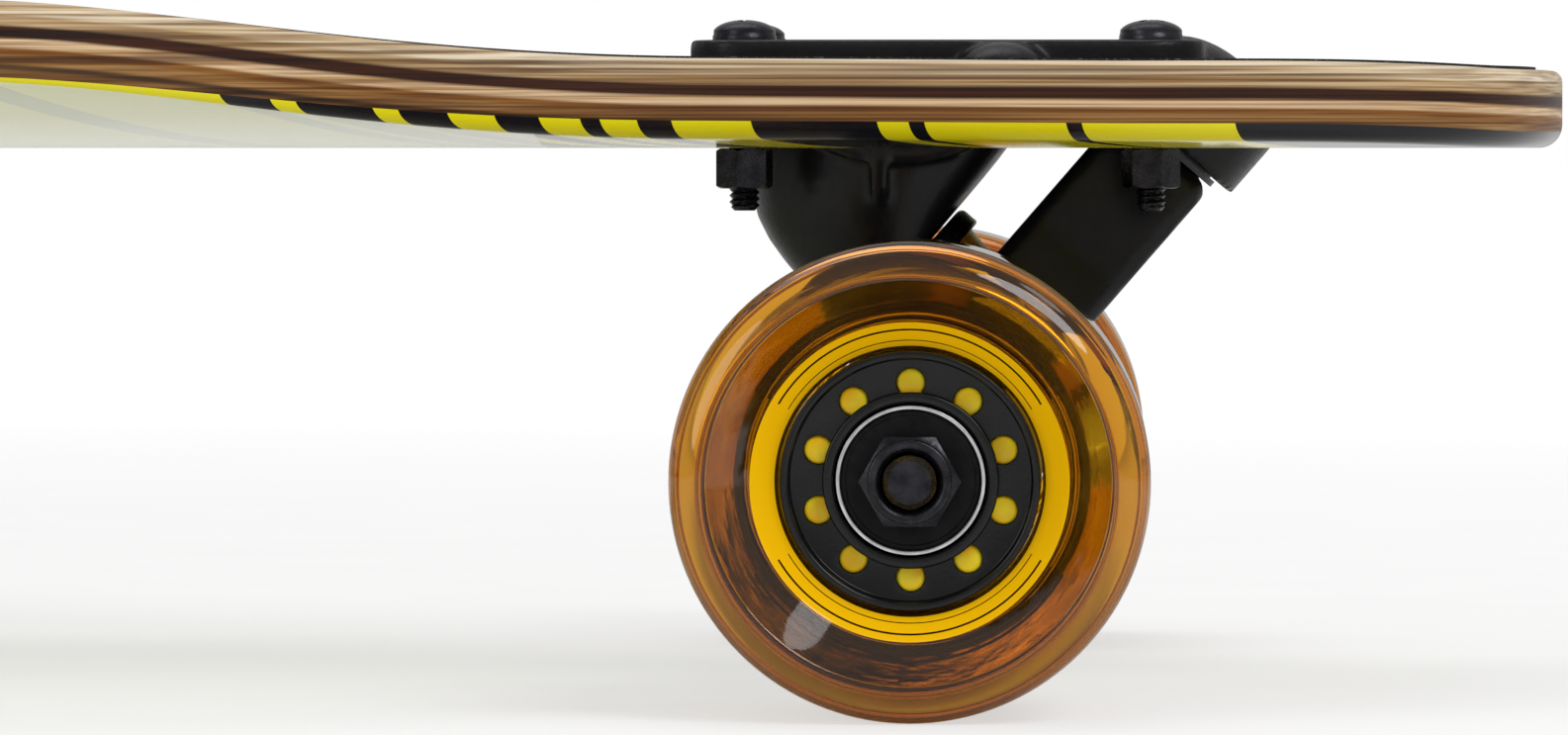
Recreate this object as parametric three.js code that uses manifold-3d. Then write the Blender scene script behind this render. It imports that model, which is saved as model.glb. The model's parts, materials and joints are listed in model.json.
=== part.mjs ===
// A drop-through longboard on two reverse-kingpin trucks.
//
// Millimetres. +Z is up, +X points to the nose and +Y to the rider's left. The origin is on the
// ground below the middle of the deck. The rear half is the front half turned about Z.
//
// A truck is drawn in its own frame, whose origin is the middle of its axle and whose +X points
// away from the middle of the board. Its steering frame is that frame tipped about Y, so that
// +Z runs up the steering axis and +X runs down the kingpin.

import * as THREE from "three";
import { mergeVertices } from "three/addons/utils/BufferGeometryUtils.js";
import Module from "manifold-3d";

const wasm = await Module();
wasm.setup();

// ---------------------------------------------------------------- clearances

const FIT = 0.3; // between round or slanted faces that seat on each other
const FLUSH = 0.05; // between level faces that lie on each other
const END_PLAY = 0.1; // between neighbours along an axle
const OVERCUT = 2; // how far a cutter runs out of what it cuts

// ---------------------------------------------------------------- wheels and bearings

const WHEEL_RADIUS = 35;
const WHEEL_WIDTH = 51;
const SHOULDER_RADIUS = 5.5; // from the tread round to the side
const DISH_DEPTH = 10; // from the side of the tyre in to the edge of the core
const DISH_RADIUS = 23.3; // where the dish turns into a steeper cone
const CONE_DEPTH = 4; // of the dish's last part, next to the core
const CORE_RADIUS = 19;
const CORE_RIM = 1.2; // wall of the core's outer ring
const CORE_SET_BACK = 0.3; // of the core's edge behind the dish
const CORE_DISC_WIDTH = 21;
const CORE_HOLES = 10;
const CORE_HOLE_RADIUS = 2.2;
const CORE_HOLE_CIRCLE = 14.2;
const HUB_WALL = 1.6; // round each bearing
const HUB_STEP = 0.6; // how far the hub stands out beyond its bearing
const HUB_SHELF = 2.6; // what each bearing is pressed against
const BEARING_RADIUS = 11;
const BEARING_WIDTH = 7;
const RACE_WALL = 1.4;
const SHIELD_DEPTH = 0.4;
const SPACER_LENGTH = 10;
const SPACER_WALL = 1.6;

// ---------------------------------------------------------------- axle and its fasteners

const AXLE_RADIUS = 4;
const AXLE_STICK_OUT = 1.4; // beyond the axle nut
const AXLE_CHAMFER = 0.8;
const SPEED_WASHER_THICKNESS = 1;
const SPEED_WASHER_RADIUS = 6.3;
const AXLE_NUT_FLATS = 13;
const AXLE_NUT_HEIGHT = 6.5;
const AXLE_NUT_COLLAR = 1.4; // of that height, the round locking collar

// ---------------------------------------------------------------- deck and grip tape

const DECK_LENGTH = 1040;
const NOSE_OVERHANG = 100.5; // from the axle to the nose's tip
const DECK_HALF_WIDTH = 120; // between the trucks
const WAIST_HALF_WIDTH = 70; // where the flare ends beside the wheels
const NOSE_HALF_WIDTH = 66; // where the rounded end starts
const FLARE_START = 142; // from the axle towards the middle
const FLARE_END = 30;
const NOSE_START = 30; // from the axle outwards
const DECK_THICKNESS = 12.1;
const DECK_OVER_AXLE = 60.6; // from the axle's centre up to the deck's flat top
const FLAT_HALF_WIDTH = 36.7; // the middle, which the concave leaves flat
const CONCAVE_RISE = 10; // at the deck's full width
const TOP_CORNER_RADIUS = 1.8;
const BOTTOM_ROLL_RADIUS = 3.6; // of the edge's lower corner, up to the waist's width
const WIDE_ROLL_RADIUS = 1.2; // of that corner at the deck's full width
const GRIP_THICKNESS = 0.5;
const GRIP_INSET = 4.2; // from the deck's edge
const GRIP_MARGIN = 1.5; // round the baseplates and the slots

const NOSE_STEPS = 6; // steps of the outline's stretches
const FLARE_STEPS = 5;
const EDGE_STEPS = 2;
const CONCAVE_STEPS = 3;

// ---------------------------------------------------------------- slots for the trucks

const SLOT_INNER_END = 32; // from the axle towards the middle
const SLOT_OUTER_END = 58;
const SLOT_HALF_WIDTH = 14;
const SLOT_CORNER = 6;
const WAIST_INNER_END = 21; // the slot's wider middle
const WAIST_OUTER_END = 27;
const WAIST_SLOT_HALF_WIDTH = 21;

// ---------------------------------------------------------------- baseplate

const PLATE_LENGTH = 80.5;
const PLATE_WIDTH = 57;
const PLATE_THICKNESS = 4.7;
const PLATE_CORNER = 9;
const PLATE_OFFSET = 3.8; // of its middle, outwards from the axle
const LUG_OFFSET = 8.6; // of the side lugs, outwards from the plate's middle
const LUG_RADIUS = 7.2;
const LUG_HEIGHT = 4.3;
const BOLT_PITCH = 63.5;
const BOLT_SPREAD = 41.3;
const BOLT_RADIUS = 2.4;
const BOLT_LENGTH = 26.7; // under the head
const BOLT_HEAD_RADIUS = 5;
const BOLT_HEAD_HEIGHT = 3.1;
const BOLT_HEAD_BRIM = 0.7;
const BOLT_NUT_FLATS = 8;
const BOLT_NUT_HEIGHT = 6.3;

// ---------------------------------------------------------------- steering and kingpin

const STEER_ANGLE = 49; // of the steering axis above level, in degrees
const RAKE = 3.05; // from the axle back to the steering axis
const KINGPIN_RISE = 18.75; // from the axle up along the steering axis
const KINGPIN_RADIUS = 5;
const KINGPIN_HEAD_FLATS = 14.3;
const KINGPIN_HEAD_HEIGHT = 6.2;
const KINGPIN_NUT_HEIGHT = 8;
const KINGPIN_NUT_COLLAR = 2;
const KINGPIN_STICK_OUT = 1.3;
const KINGPIN_CHAMFER = 0.9;
const BUSHING_RADIUS = 13.2;
const BUSHING_WAIST = 0.8; // hollow of the boardside bushing's flank
const BOARDSIDE_LENGTH = 12.3;
const ROADSIDE_LENGTH = 10.9;
const ROADSIDE_TIP_RADIUS = 10.2;
const CUP_WASHER_RADIUS = 14.4; // boardside, with a rim round the bushing
const CUP_WASHER_THICKNESS = 1.6;
const CUP_WASHER_HEIGHT = 3.5;
const CUP_WASHER_EDGE = 1.1; // rounded off
const ROADSIDE_WASHER_RADIUS = 11;
const ROADSIDE_WASHER_THICKNESS = 1.6;

// ---------------------------------------------------------------- kingpin tower of the baseplate

const TOWER_FLOOR = 5.5; // between the kingpin's head and the boardside washer
const TOWER_SEAT_RADIUS = 12;
const TOWER_TOP_CENTRE = -3; // from the axle, at the plate
const TOWER_TOP_HALF_LENGTH = 24;
const TOWER_TOP_HALF_WIDTH = 17;
const TOWER_KNEE_CENTRE = -7; // where the tower bends towards the kingpin
const TOWER_KNEE_DROP = 17.8; // from the deck's top down to the knee's middle
const TOWER_KNEE_HALF_LENGTH = 19.6;
const TOWER_KNEE_HALF_WIDTH = 16.2;
const TOWER_KNEE_SLANT = 5.3; // from the knee's middle up to its outer end
const TOWER_WALL = 4.2;
const WEB_CENTRE = -4; // of the web down each side of the tower, whose lower edge is an arc
const WEB_HALF_LENGTH = 14.5;
const WEB_RADIUS = 29;
const WEB_DROP = 14.7; // from the deck's top to the arc's lowest point
const WEB_REACH = 19.2; // from the centreline
const WEB_THICKNESS = 5;
const RIB_OFFSET = 6.9; // of the upright rib on each web, inwards from the axle
const RIB_WIDTH = 2.6;
const RIB_REACH = 20;
const RIB_DROP = 20.8; // from the deck's top to the rib's tip
const RIB_BEND = 14;
const SPINE_WIDTH = 9; // of the rib between the tower and the pivot boss
const SPINE_DEPTH = 10.5;

// ---------------------------------------------------------------- pivot

const BOSS_RADIUS = 12.4;
const BOSS_SHOULDER = 9.2; // from the boss's mouth to its cap
const BOSS_CAP_HEIGHT = 7.6;
const CUP_RADIUS = 8.3;
const CUP_TIP_RADIUS = 5.5;
const CUP_STRAIGHT = 7; // of the cup's length, from the mouth
const CUP_END_WALL = 2.2;
const CUP_FLANGE_RADIUS = 9.3;
const CUP_FLANGE_THICKNESS = 1;
const NOSE_RADIUS = 6.5;
const NOSE_TIP_RADIUS = 4.8;
const NOSE_LENGTH = 11.8;
const NOSE_STRAIGHT = 2; // of that length, next to the arm

// ---------------------------------------------------------------- hanger

const HANGER_HALF_LENGTH = 90; // from the middle to the face that the washer collar sits on
const HANGER_THICKNESS = 18.7;
const ARM_TOP = 61.2; // from the axle up along the steering axis
const ARM_TOP_HALF_WIDTH = 10;
const ARM_WAIST_RISE = 40;
const ARM_WAIST_HALF_WIDTH = 12.2;
const ARM_ROOT_HALF_WIDTH = 19;
const ARM_BEVEL = 1.6;
const RING_RADIUS = 17.6; // round the kingpin
const RECESS_PLAY = 1; // round each bushing
const RECESS_DEPTH = 5.5;
const RING_HOLE_RADIUS = 8;
const BODY_FOOT = 9; // below the axle, along the steering axis
const BODY_HEIGHT = 25;
const BODY_HALF_LENGTH = 20; // before the wings start to taper
const WING_END_RADIUS = 8.6;
const WING_TAPER_END = 84;
const WING_STEPS = 4;

// ---------------------------------------------------------------- roundness

const TYRE_SIDES = 30;
const CORE_SIDES = 20;
const ROUND_SIDES = 18; // of the tower, bosses and bushings
const RING_SIDES = 14; // of bearings and washers
const PIN_SIDES = 12; // of axles, kingpins, spacers and their bores
const HOLE_SIDES = 6; // of the holes in the wheels' cores
const BOLT_SIDES = 8;
const SECTION_POINTS = 16; // of the hanger's section
const WELD = 1e-4;

// ---------------------------------------------------------------- sizes that follow

const AXLE_HEIGHT = WHEEL_RADIUS;
const WHEELBASE = DECK_LENGTH - 2 * NOSE_OVERHANG;
const STEER_TILT = THREE.MathUtils.degToRad(90 - STEER_ANGLE);
const DECK_BOTTOM = DECK_OVER_AXLE - DECK_THICKNESS;
const PLATE_BOTTOM = DECK_OVER_AXLE + FLUSH;
const PLATE_TOP = PLATE_BOTTOM + PLATE_THICKNESS;
const SPINE_END = DECK_LENGTH / 2 - NOSE_HALF_WIDTH;

const BORE_RADIUS = AXLE_RADIUS + FIT;
const COLLAR_FACE = HANGER_HALF_LENGTH + SPEED_WASHER_THICKNESS;
const WHEEL_OFFSET = COLLAR_FACE + END_PLAY + BEARING_WIDTH + SPACER_LENGTH / 2;
const BEARING_OFFSET = (SPACER_LENGTH + BEARING_WIDTH) / 2;
const OUTER_WASHER_FACE = WHEEL_OFFSET + SPACER_LENGTH / 2 + BEARING_WIDTH + END_PLAY;
const AXLE_NUT_FACE = OUTER_WASHER_FACE + SPEED_WASHER_THICKNESS + END_PLAY;
const AXLE_HALF_LENGTH = AXLE_NUT_FACE + AXLE_NUT_HEIGHT + AXLE_STICK_OUT;

const SLAB_INNER = -RAKE - HANGER_THICKNESS / 2; // the hanger's faces, along the kingpin
const SLAB_OUTER = -RAKE + HANGER_THICKNESS / 2;
const BOARDSIDE_START = SLAB_INNER + RECESS_DEPTH - FIT;
const BOARDSIDE_END = BOARDSIDE_START - BOARDSIDE_LENGTH;
const CUP_WASHER_BACK = BOARDSIDE_END - FIT - CUP_WASHER_THICKNESS;
const TOWER_SEAT = CUP_WASHER_BACK - FIT;
const BOWL_FLOOR = TOWER_SEAT - TOWER_FLOOR;
const KINGPIN_HEAD_FACE = BOWL_FLOOR - FIT;
const ROADSIDE_START = SLAB_OUTER - RECESS_DEPTH + FIT;
const ROADSIDE_END = ROADSIDE_START + ROADSIDE_LENGTH;
const ROADSIDE_WASHER_START = ROADSIDE_END + FIT;
const KINGPIN_NUT_START = ROADSIDE_WASHER_START + ROADSIDE_WASHER_THICKNESS + FIT;
const KINGPIN_END = KINGPIN_NUT_START + KINGPIN_NUT_HEIGHT + KINGPIN_STICK_OUT;
const KINGPIN_BORE = KINGPIN_RADIUS + FIT;

const CUP_FLANGE_FACE = ARM_TOP + FIT;
const BOSS_MOUTH = CUP_FLANGE_FACE + CUP_FLANGE_THICKNESS + FIT;
const NOSE_END = ARM_TOP + NOSE_LENGTH;
const CUP_END = NOSE_END + FIT + CUP_END_WALL;

// ---------------------------------------------------------------- materials

const finish = (color, roughness, metalness) =>
  new THREE.MeshStandardMaterial({ color, roughness, metalness, flatShading: true });

const MAPLE = finish(0xc4a982, 0.45, 0);
const GRIP = finish(0x1c1c1d, 0.95, 0);
const BLACK_CASTING = finish(0x151517, 0.35, 0.4);
const STEEL = finish(0xb9bcc0, 0.3, 1);
const BLACK_STEEL = finish(0x1b1b1d, 0.35, 0.8);
const URETHANE = finish(0xd98a1c, 0.2, 0);
const BUSHING_URETHANE = finish(0xd8a02c, 0.35, 0);
const CUP_URETHANE = finish(0x222224, 0.5, 0);
const CORE_PLASTIC = finish(0x141415, 0.4, 0);

// ---------------------------------------------------------------- solids

// A closed geometry as a solid that can be joined and cut.
function solidOf(geometry) {
  const bare = geometry.clone();
  bare.deleteAttribute("normal");
  bare.deleteAttribute("uv");
  const merged = mergeVertices(bare, WELD);
  const mesh = new wasm.Mesh({
    numProp: 3,
    vertProperties: merged.attributes.position.array,
    triVerts: new Uint32Array(merged.index.array),
  });
  return new wasm.Manifold(mesh);
}

// A solid as a geometry again.
function geometryOf(solid) {
  const mesh = solid.getMesh();
  const geometry = new THREE.BufferGeometry();
  geometry.setAttribute("position", new THREE.BufferAttribute(mesh.vertProperties, 3));
  geometry.setIndex(new THREE.BufferAttribute(mesh.triVerts, 1));
  geometry.computeVertexNormals();
  return geometry;
}

const joined = (first, ...others) => others.reduce((whole, piece) => whole.add(piece), first);
const cut = (first, ...tools) => tools.reduce((rest, tool) => rest.subtract(tool), first);

// A profile of [radius, height] turned about Y. It runs outwards along its lower side first.
function turned(profile, sides) {
  const points = profile.map(([radius, height]) => new THREE.Vector2(radius, height));
  return new THREE.LatheGeometry(points, sides);
}

// The same for a ring, whose profile closes on itself.
const turnedRing = (profile, sides) => turned([...profile, profile[0]], sides);

const alongX = (geometry) => geometry.rotateZ(-Math.PI / 2);
const alongZ = (geometry) => geometry.rotateX(Math.PI / 2);

// A plain round bar from one height to another, about Y.
function bar(radius, from, to, sides) {
  return turned([[0, from], [radius, from], [radius, to], [0, to]], sides);
}

const acrossCorners = (flats) => flats / Math.cos(Math.PI / 6);

// A hexagon bar about Y, measured across its flats, two of which face along Z.
function hexBar(flats, from, to) {
  return bar(acrossCorners(flats) / 2, from, to, 6).rotateY(Math.PI / 6);
}

// A flat ring about Y.
function washer(bore, radius, from, thickness, sides = RING_SIDES) {
  const to = from + thickness;
  return turnedRing([[bore, from], [radius, from], [radius, to], [bore, to]], sides);
}

// A lock nut about Y: a hexagon with a round collar at its far end, bored for its thread.
function lockNut(flats, bore, from, height, collar) {
  const hexEnd = from + height - collar;
  const hex = solidOf(hexBar(flats, from, hexEnd));
  const ring = solidOf(bar(flats / 2 - collar / 4, hexEnd - collar, from + height, PIN_SIDES));
  const thread = solidOf(bar(bore, from - OVERCUT, from + height + OVERCUT, PIN_SIDES));
  return geometryOf(cut(joined(hex, ring), thread));
}

// Points of an arc, as [x, y] pairs from one angle to another in degrees.
function arc(x, y, radius, from, to, steps) {
  return Array.from({ length: steps + 1 }, (_, i) => {
    const angle = THREE.MathUtils.degToRad(from + ((to - from) * i) / steps);
    return [x + radius * Math.cos(angle), y + radius * Math.sin(angle)];
  });
}

// A rounded rectangle between two corners, as a shape.
function roundedRectangle(left, bottom, right, top, corner) {
  const shape = new THREE.Shape();
  shape.absarc(right - corner, bottom + corner, corner, -Math.PI / 2, 0);
  shape.absarc(right - corner, top - corner, corner, 0, Math.PI / 2);
  shape.absarc(left + corner, top - corner, corner, Math.PI / 2, Math.PI);
  shape.absarc(left + corner, bottom + corner, corner, Math.PI, 1.5 * Math.PI);
  return shape;
}

// A shape raised from one level to another.
function raised(shape, from, to, curveSegments = 3) {
  const options = { depth: to - from, bevelEnabled: false, curveSegments };
  return new THREE.ExtrudeGeometry(shape, options).translate(0, 0, from);
}

// A surface through rings of equally many points. The rings run anticlockwise, seen from
// where the stack of rings ends, and the first and the last one hold no area.
// Each quad is split along its shorter diagonal.
function skin(rings) {
  const around = rings[0].length;
  const points = rings.flat();
  const index = [];
  for (let ring = 0; ring + 1 < rings.length; ring += 1) {
    for (let i = 0; i < around; i += 1) {
      const here = ring * around + i;
      const next = ring * around + ((i + 1) % around);
      const rising = points[here].distanceTo(points[next + around]);
      const falling = points[next].distanceTo(points[here + around]);
      if (rising < falling) {
        index.push(here, next, next + around);
        index.push(here, next + around, here + around);
      } else {
        index.push(here, next, here + around);
        index.push(next, next + around, here + around);
      }
    }
  }
  return new THREE.BufferGeometry().setFromPoints(points).setIndex(index);
}

// A closed body through rings, with flat ends.
function loft(rings) {
  const middleOf = (ring) => {
    const sum = ring.reduce((total, point) => total.add(point), new THREE.Vector3());
    const middle = sum.divideScalar(ring.length);
    return ring.map(() => middle);
  };
  return skin([middleOf(rings[0]), ...rings, middleOf(rings[rings.length - 1])]);
}

// ---------------------------------------------------------------- deck and grip tape

const smooth = (t) => t * t * (3 - 2 * t);

// How far the concave lifts the deck at a distance y from the centreline.
function concaveAt(y) {
  const beyond = Math.max(0, Math.abs(y) - FLAT_HALF_WIDTH);
  return CONCAVE_RISE * (beyond / (DECK_HALF_WIDTH - FLAT_HALF_WIDTH)) ** 2;
}

// The outline from the nose's tip to mid-length, as [x, half width].
function quarterOutline() {
  const axle = WHEELBASE / 2;
  const noseStart = axle + NOSE_START;
  const noseLength = DECK_LENGTH / 2 - noseStart;
  const points = [];
  for (let i = 0; i <= NOSE_STEPS; i += 1) {
    const turn = (Math.PI / 2) * (1 - i / NOSE_STEPS);
    const x = noseStart + noseLength * Math.sqrt(Math.sin(turn));
    points.push([x, NOSE_HALF_WIDTH * Math.cos(turn)]);
  }
  for (let i = 0; i <= FLARE_STEPS; i += 1) {
    const t = i / FLARE_STEPS;
    const x = axle - FLARE_END - t * (FLARE_START - FLARE_END);
    points.push([x, WAIST_HALF_WIDTH + (DECK_HALF_WIDTH - WAIST_HALF_WIDTH) * smooth(t)]);
  }
  return points;
}

// The whole outline, anticlockwise from the nose's tip.
function deckOutline() {
  const quarter = quarterOutline();
  const leftSide = [
    ...quarter,
    [0, DECK_HALF_WIDTH],
    ...quarter.map(([x, y]) => [-x, y]).reverse(),
  ];
  const rightSide = leftSide.slice(1, -1).map(([x, y]) => [-x, -y]);
  return [...leftSide, ...rightSide];
}

// One ring of the board: the outline drawn in towards the centreline and bent by the concave.
// reach gives the ring's distance from the centreline for the outline's own distance.
function boardRing(outline, level, reach) {
  return outline.map(([x, y]) => {
    const spine = THREE.MathUtils.clamp(x, -SPINE_END, SPINE_END);
    const edge = Math.hypot(x - spine, y);
    const share = reach(edge) / edge;
    const lift = concaveAt(y * share);
    return new THREE.Vector3(spine + (x - spine) * share, y * share, level + lift);
  });
}

// The rings of a level face, from the centreline out to an inset from the edge.
function faceRings(outline, level, inset) {
  const rings = [boardRing(outline, level, () => 0)];
  for (let i = 0; i < CONCAVE_STEPS; i += 1) {
    const share = i / CONCAVE_STEPS;
    const reach = (edge) => FLAT_HALF_WIDTH + share * (edge - inset - FLAT_HALF_WIDTH);
    rings.push(boardRing(outline, level, reach));
  }
  return rings;
}

// The ring where the grip tape ends.
const gripEdge = (outline, level) => boardRing(outline, level, (edge) => edge - GRIP_INSET);

// How far the edge's lower corner is rounded at a half width of the deck.
function rollRadius(halfWidth) {
  const wider = THREE.MathUtils.inverseLerp(WAIST_HALF_WIDTH, DECK_HALF_WIDTH, Math.abs(halfWidth));
  return THREE.MathUtils.lerp(BOTTOM_ROLL_RADIUS, WIDE_ROLL_RADIUS, THREE.MathUtils.clamp(wider, 0, 1));
}

// The rings of the deck's edge: the rolled lower corner, then the tighter upper one.
function edgeRings(outline, bottom, top) {
  const rings = arc(0, 0, 1, -90, 0, EDGE_STEPS).map(([out, up]) =>
    outline.map(([x, y]) => {
      const roll = rollRadius(y);
      return boardRing([[x, y]], bottom + roll + roll * up, (edge) => edge - roll + roll * out)[0];
    }),
  );
  const corner = arc(-TOP_CORNER_RADIUS, top - TOP_CORNER_RADIUS, TOP_CORNER_RADIUS, 0, 90, EDGE_STEPS);
  const upper = corner.map(([offset, level]) => boardRing(outline, level, (edge) => edge + offset));
  return [...rings, ...upper];
}

// Both trucks' cut-outs, wider by a margin, between two levels. A truck's x counts outwards.
function slotCutters(margin, from, to) {
  const narrow = [-SLOT_INNER_END, SLOT_OUTER_END, SLOT_HALF_WIDTH];
  const wide = [-WAIST_INNER_END, WAIST_OUTER_END, WAIST_SLOT_HALF_WIDTH];
  return [narrow, wide].flatMap(([inner, outer, half]) => {
    const shape = roundedRectangle(
      inner - margin,
      -half - margin,
      outer + margin,
      half + margin,
      SLOT_CORNER,
    );
    return atBothTrucks(raised(shape, from, to));
  });
}

// A cutter drawn from the axle's place, once at each truck.
function atBothTrucks(geometry) {
  const front = geometry.clone().translate(WHEELBASE / 2, 0, 0);
  const rear = front.clone().rotateZ(Math.PI);
  return [solidOf(front), solidOf(rear)];
}

// The four bolt places, in the truck's frame.
function boltPlaces() {
  const signs = [[-1, -1], [-1, 1], [1, -1], [1, 1]];
  return signs.map(([along, across]) => [
    PLATE_OFFSET + (along * BOLT_PITCH) / 2,
    (across * BOLT_SPREAD) / 2,
  ]);
}

function boltHole([x, y], from, to) {
  return alongZ(bar(BOLT_RADIUS + FIT, from, to, BOLT_SIDES)).translate(x, y, 0);
}

function deckGeometry() {
  const outline = deckOutline();
  const board = skin([
    ...faceRings(outline, DECK_BOTTOM, BOTTOM_ROLL_RADIUS),
    ...edgeRings(outline, DECK_BOTTOM, DECK_OVER_AXLE),
    gripEdge(outline, DECK_OVER_AXLE),
    ...faceRings(outline, DECK_OVER_AXLE, GRIP_INSET).reverse(),
  ]);
  const from = DECK_BOTTOM - OVERCUT;
  const to = DECK_OVER_AXLE + OVERCUT;
  const holes = boltPlaces().flatMap((place) => atBothTrucks(boltHole(place, from, to)));
  return geometryOf(cut(solidOf(board), ...slotCutters(0, from, to), ...holes));
}

function gripGeometry() {
  const outline = deckOutline();
  const bottom = DECK_OVER_AXLE + FLUSH;
  const top = bottom + GRIP_THICKNESS;
  const sheet = skin([
    ...faceRings(outline, bottom, GRIP_INSET),
    gripEdge(outline, bottom),
    gripEdge(outline, top),
    ...faceRings(outline, top, GRIP_INSET).reverse(),
  ]);
  const from = bottom - OVERCUT;
  const to = top + OVERCUT;
  const plate = raised(plateShape(GRIP_MARGIN), from, to);
  const lug = alongZ(bar(LUG_RADIUS + GRIP_MARGIN, from, to, RING_SIDES));
  const lugs = lugPlaces().flatMap(([x, y]) => atBothTrucks(lug.clone().translate(x, y, 0)));
  const slots = slotCutters(GRIP_MARGIN, from, to);
  return geometryOf(cut(solidOf(sheet), ...atBothTrucks(plate), ...lugs, ...slots));
}

// ---------------------------------------------------------------- baseplate

function plateShape(margin) {
  const half = PLATE_LENGTH / 2 + margin;
  return roundedRectangle(
    PLATE_OFFSET - half,
    -PLATE_WIDTH / 2 - margin,
    PLATE_OFFSET + half,
    PLATE_WIDTH / 2 + margin,
    PLATE_CORNER + margin,
  );
}

// An oval ring of the tower in the truck's frame. Its long half may slant upwards.
function ovalRing(x, z, halfLength, halfWidth, slant) {
  return Array.from({ length: ROUND_SIDES }, (_, i) => {
    const angle = (2 * Math.PI * i) / ROUND_SIDES;
    const along = Math.cos(angle);
    return new THREE.Vector3(x + halfLength * along, halfWidth * Math.sin(angle), z + slant * along);
  });
}

// A round ring about the kingpin, square to it, in the truck's frame.
function kingpinRing(offset, radius) {
  const tip = new THREE.Matrix4().makeRotationY(STEER_TILT);
  return Array.from({ length: ROUND_SIDES }, (_, i) => {
    const angle = (2 * Math.PI * i) / ROUND_SIDES;
    const up = KINGPIN_RISE + radius * Math.cos(angle);
    return new THREE.Vector3(offset, radius * Math.sin(angle), up).applyMatrix4(tip);
  });
}

// The tower's outside, from the washer's seat up into the plate.
function towerBody() {
  const rings = [
    kingpinRing(TOWER_SEAT, TOWER_SEAT_RADIUS),
    ovalRing(
      TOWER_KNEE_CENTRE,
      DECK_OVER_AXLE - TOWER_KNEE_DROP,
      TOWER_KNEE_HALF_LENGTH,
      TOWER_KNEE_HALF_WIDTH,
      TOWER_KNEE_SLANT,
    ),
    ovalRing(TOWER_TOP_CENTRE, DECK_OVER_AXLE, TOWER_TOP_HALF_LENGTH, TOWER_TOP_HALF_WIDTH, 0),
    ovalRing(TOWER_TOP_CENTRE, PLATE_TOP, TOWER_TOP_HALF_LENGTH, TOWER_TOP_HALF_WIDTH, 0),
  ];
  return solidOf(loft(rings));
}

// The open bowl inside the tower, from beside the kingpin's head to above the plate. Its lowest
// ring touches the head's flats, and the socket makes room for the corners.
function towerBowl() {
  const halfLength = TOWER_TOP_HALF_LENGTH - TOWER_WALL;
  const halfWidth = TOWER_TOP_HALF_WIDTH - TOWER_WALL;
  const headMiddle = KINGPIN_HEAD_FACE - KINGPIN_HEAD_HEIGHT / 2;
  const rings = [
    kingpinRing(headMiddle, KINGPIN_HEAD_FLATS / 2 + FIT),
    ovalRing(
      TOWER_KNEE_CENTRE,
      DECK_OVER_AXLE - TOWER_KNEE_DROP,
      TOWER_KNEE_HALF_LENGTH - TOWER_WALL,
      TOWER_KNEE_HALF_WIDTH - TOWER_WALL,
      TOWER_KNEE_SLANT,
    ),
    ovalRing(TOWER_TOP_CENTRE, DECK_OVER_AXLE, halfLength, halfWidth, 0),
    ovalRing(TOWER_TOP_CENTRE, PLATE_TOP + OVERCUT, halfLength, halfWidth, 0),
  ];
  return solidOf(loft(rings));
}

// The hexagon socket in the bowl's floor, which keeps the kingpin from turning.
function kingpinSocket() {
  const top = KINGPIN_HEAD_FACE - KINGPIN_HEAD_HEIGHT - OVERCUT / 2;
  const socket = alongX(hexBar(KINGPIN_HEAD_FLATS + 2 * FIT, top, BOWL_FLOOR));
  return solidOf(socket.translate(0, 0, KINGPIN_RISE).rotateY(STEER_TILT));
}

// A web down each side of the tower, whose lower edge is a shallow arc.
function sideWebs() {
  const top = DECK_OVER_AXLE + FLUSH;
  const centre = DECK_OVER_AXLE - WEB_DROP + WEB_RADIUS;
  const spread = THREE.MathUtils.radToDeg(Math.asin(WEB_HALF_LENGTH / WEB_RADIUS));
  const outline = new THREE.Shape();
  outline.moveTo(WEB_CENTRE - WEB_HALF_LENGTH, top);
  arc(WEB_CENTRE, centre, WEB_RADIUS, -90 - spread, -90 + spread, 5).forEach(([x, z]) =>
    outline.lineTo(x, z),
  );
  outline.lineTo(WEB_CENTRE + WEB_HALF_LENGTH, top);
  const middle = WEB_REACH - WEB_THICKNESS / 2;
  return [-middle, middle].map((y) => solidOf(acrossY(outline, WEB_THICKNESS).translate(0, y, 0)));
}

// An upright rib on each web, which runs out on the tower's wall.
function towerRibs() {
  const top = DECK_OVER_AXLE + FLUSH;
  const tip = DECK_OVER_AXLE - RIB_DROP;
  const root = TOWER_KNEE_HALF_WIDTH - TOWER_WALL / 2;
  const outline = new THREE.Shape();
  outline.moveTo(-RIB_REACH, top);
  outline.lineTo(-RIB_REACH, DECK_OVER_AXLE - RIB_BEND);
  outline.lineTo(-(RIB_REACH + root) / 2, (DECK_OVER_AXLE - RIB_BEND + 3 * tip) / 4);
  outline.lineTo(-root, tip);
  outline.lineTo(-root, top);
  const left = acrossX(outline, RIB_WIDTH).translate(-RIB_OFFSET, 0, 0);
  const right = left.clone().rotateZ(Math.PI).translate(-2 * RIB_OFFSET, 0, 0);
  return [solidOf(left), solidOf(right)];
}

// A shape whose x is the truck's y and whose y is its z, thickened evenly about x = 0.
function acrossX(shape, thickness, bevel = 0) {
  const options = {
    depth: thickness - 2 * bevel,
    bevelEnabled: bevel > 0,
    bevelThickness: bevel,
    bevelSize: bevel,
    bevelOffset: -bevel,
    bevelSegments: 1,
    curveSegments: 4,
  };
  const basis = new THREE.Matrix4().makeBasis(
    new THREE.Vector3(0, 1, 0),
    new THREE.Vector3(0, 0, 1),
    new THREE.Vector3(1, 0, 0),
  );
  const geometry = new THREE.ExtrudeGeometry(shape, options);
  return geometry.translate(0, 0, bevel - thickness / 2).applyMatrix4(basis);
}

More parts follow.
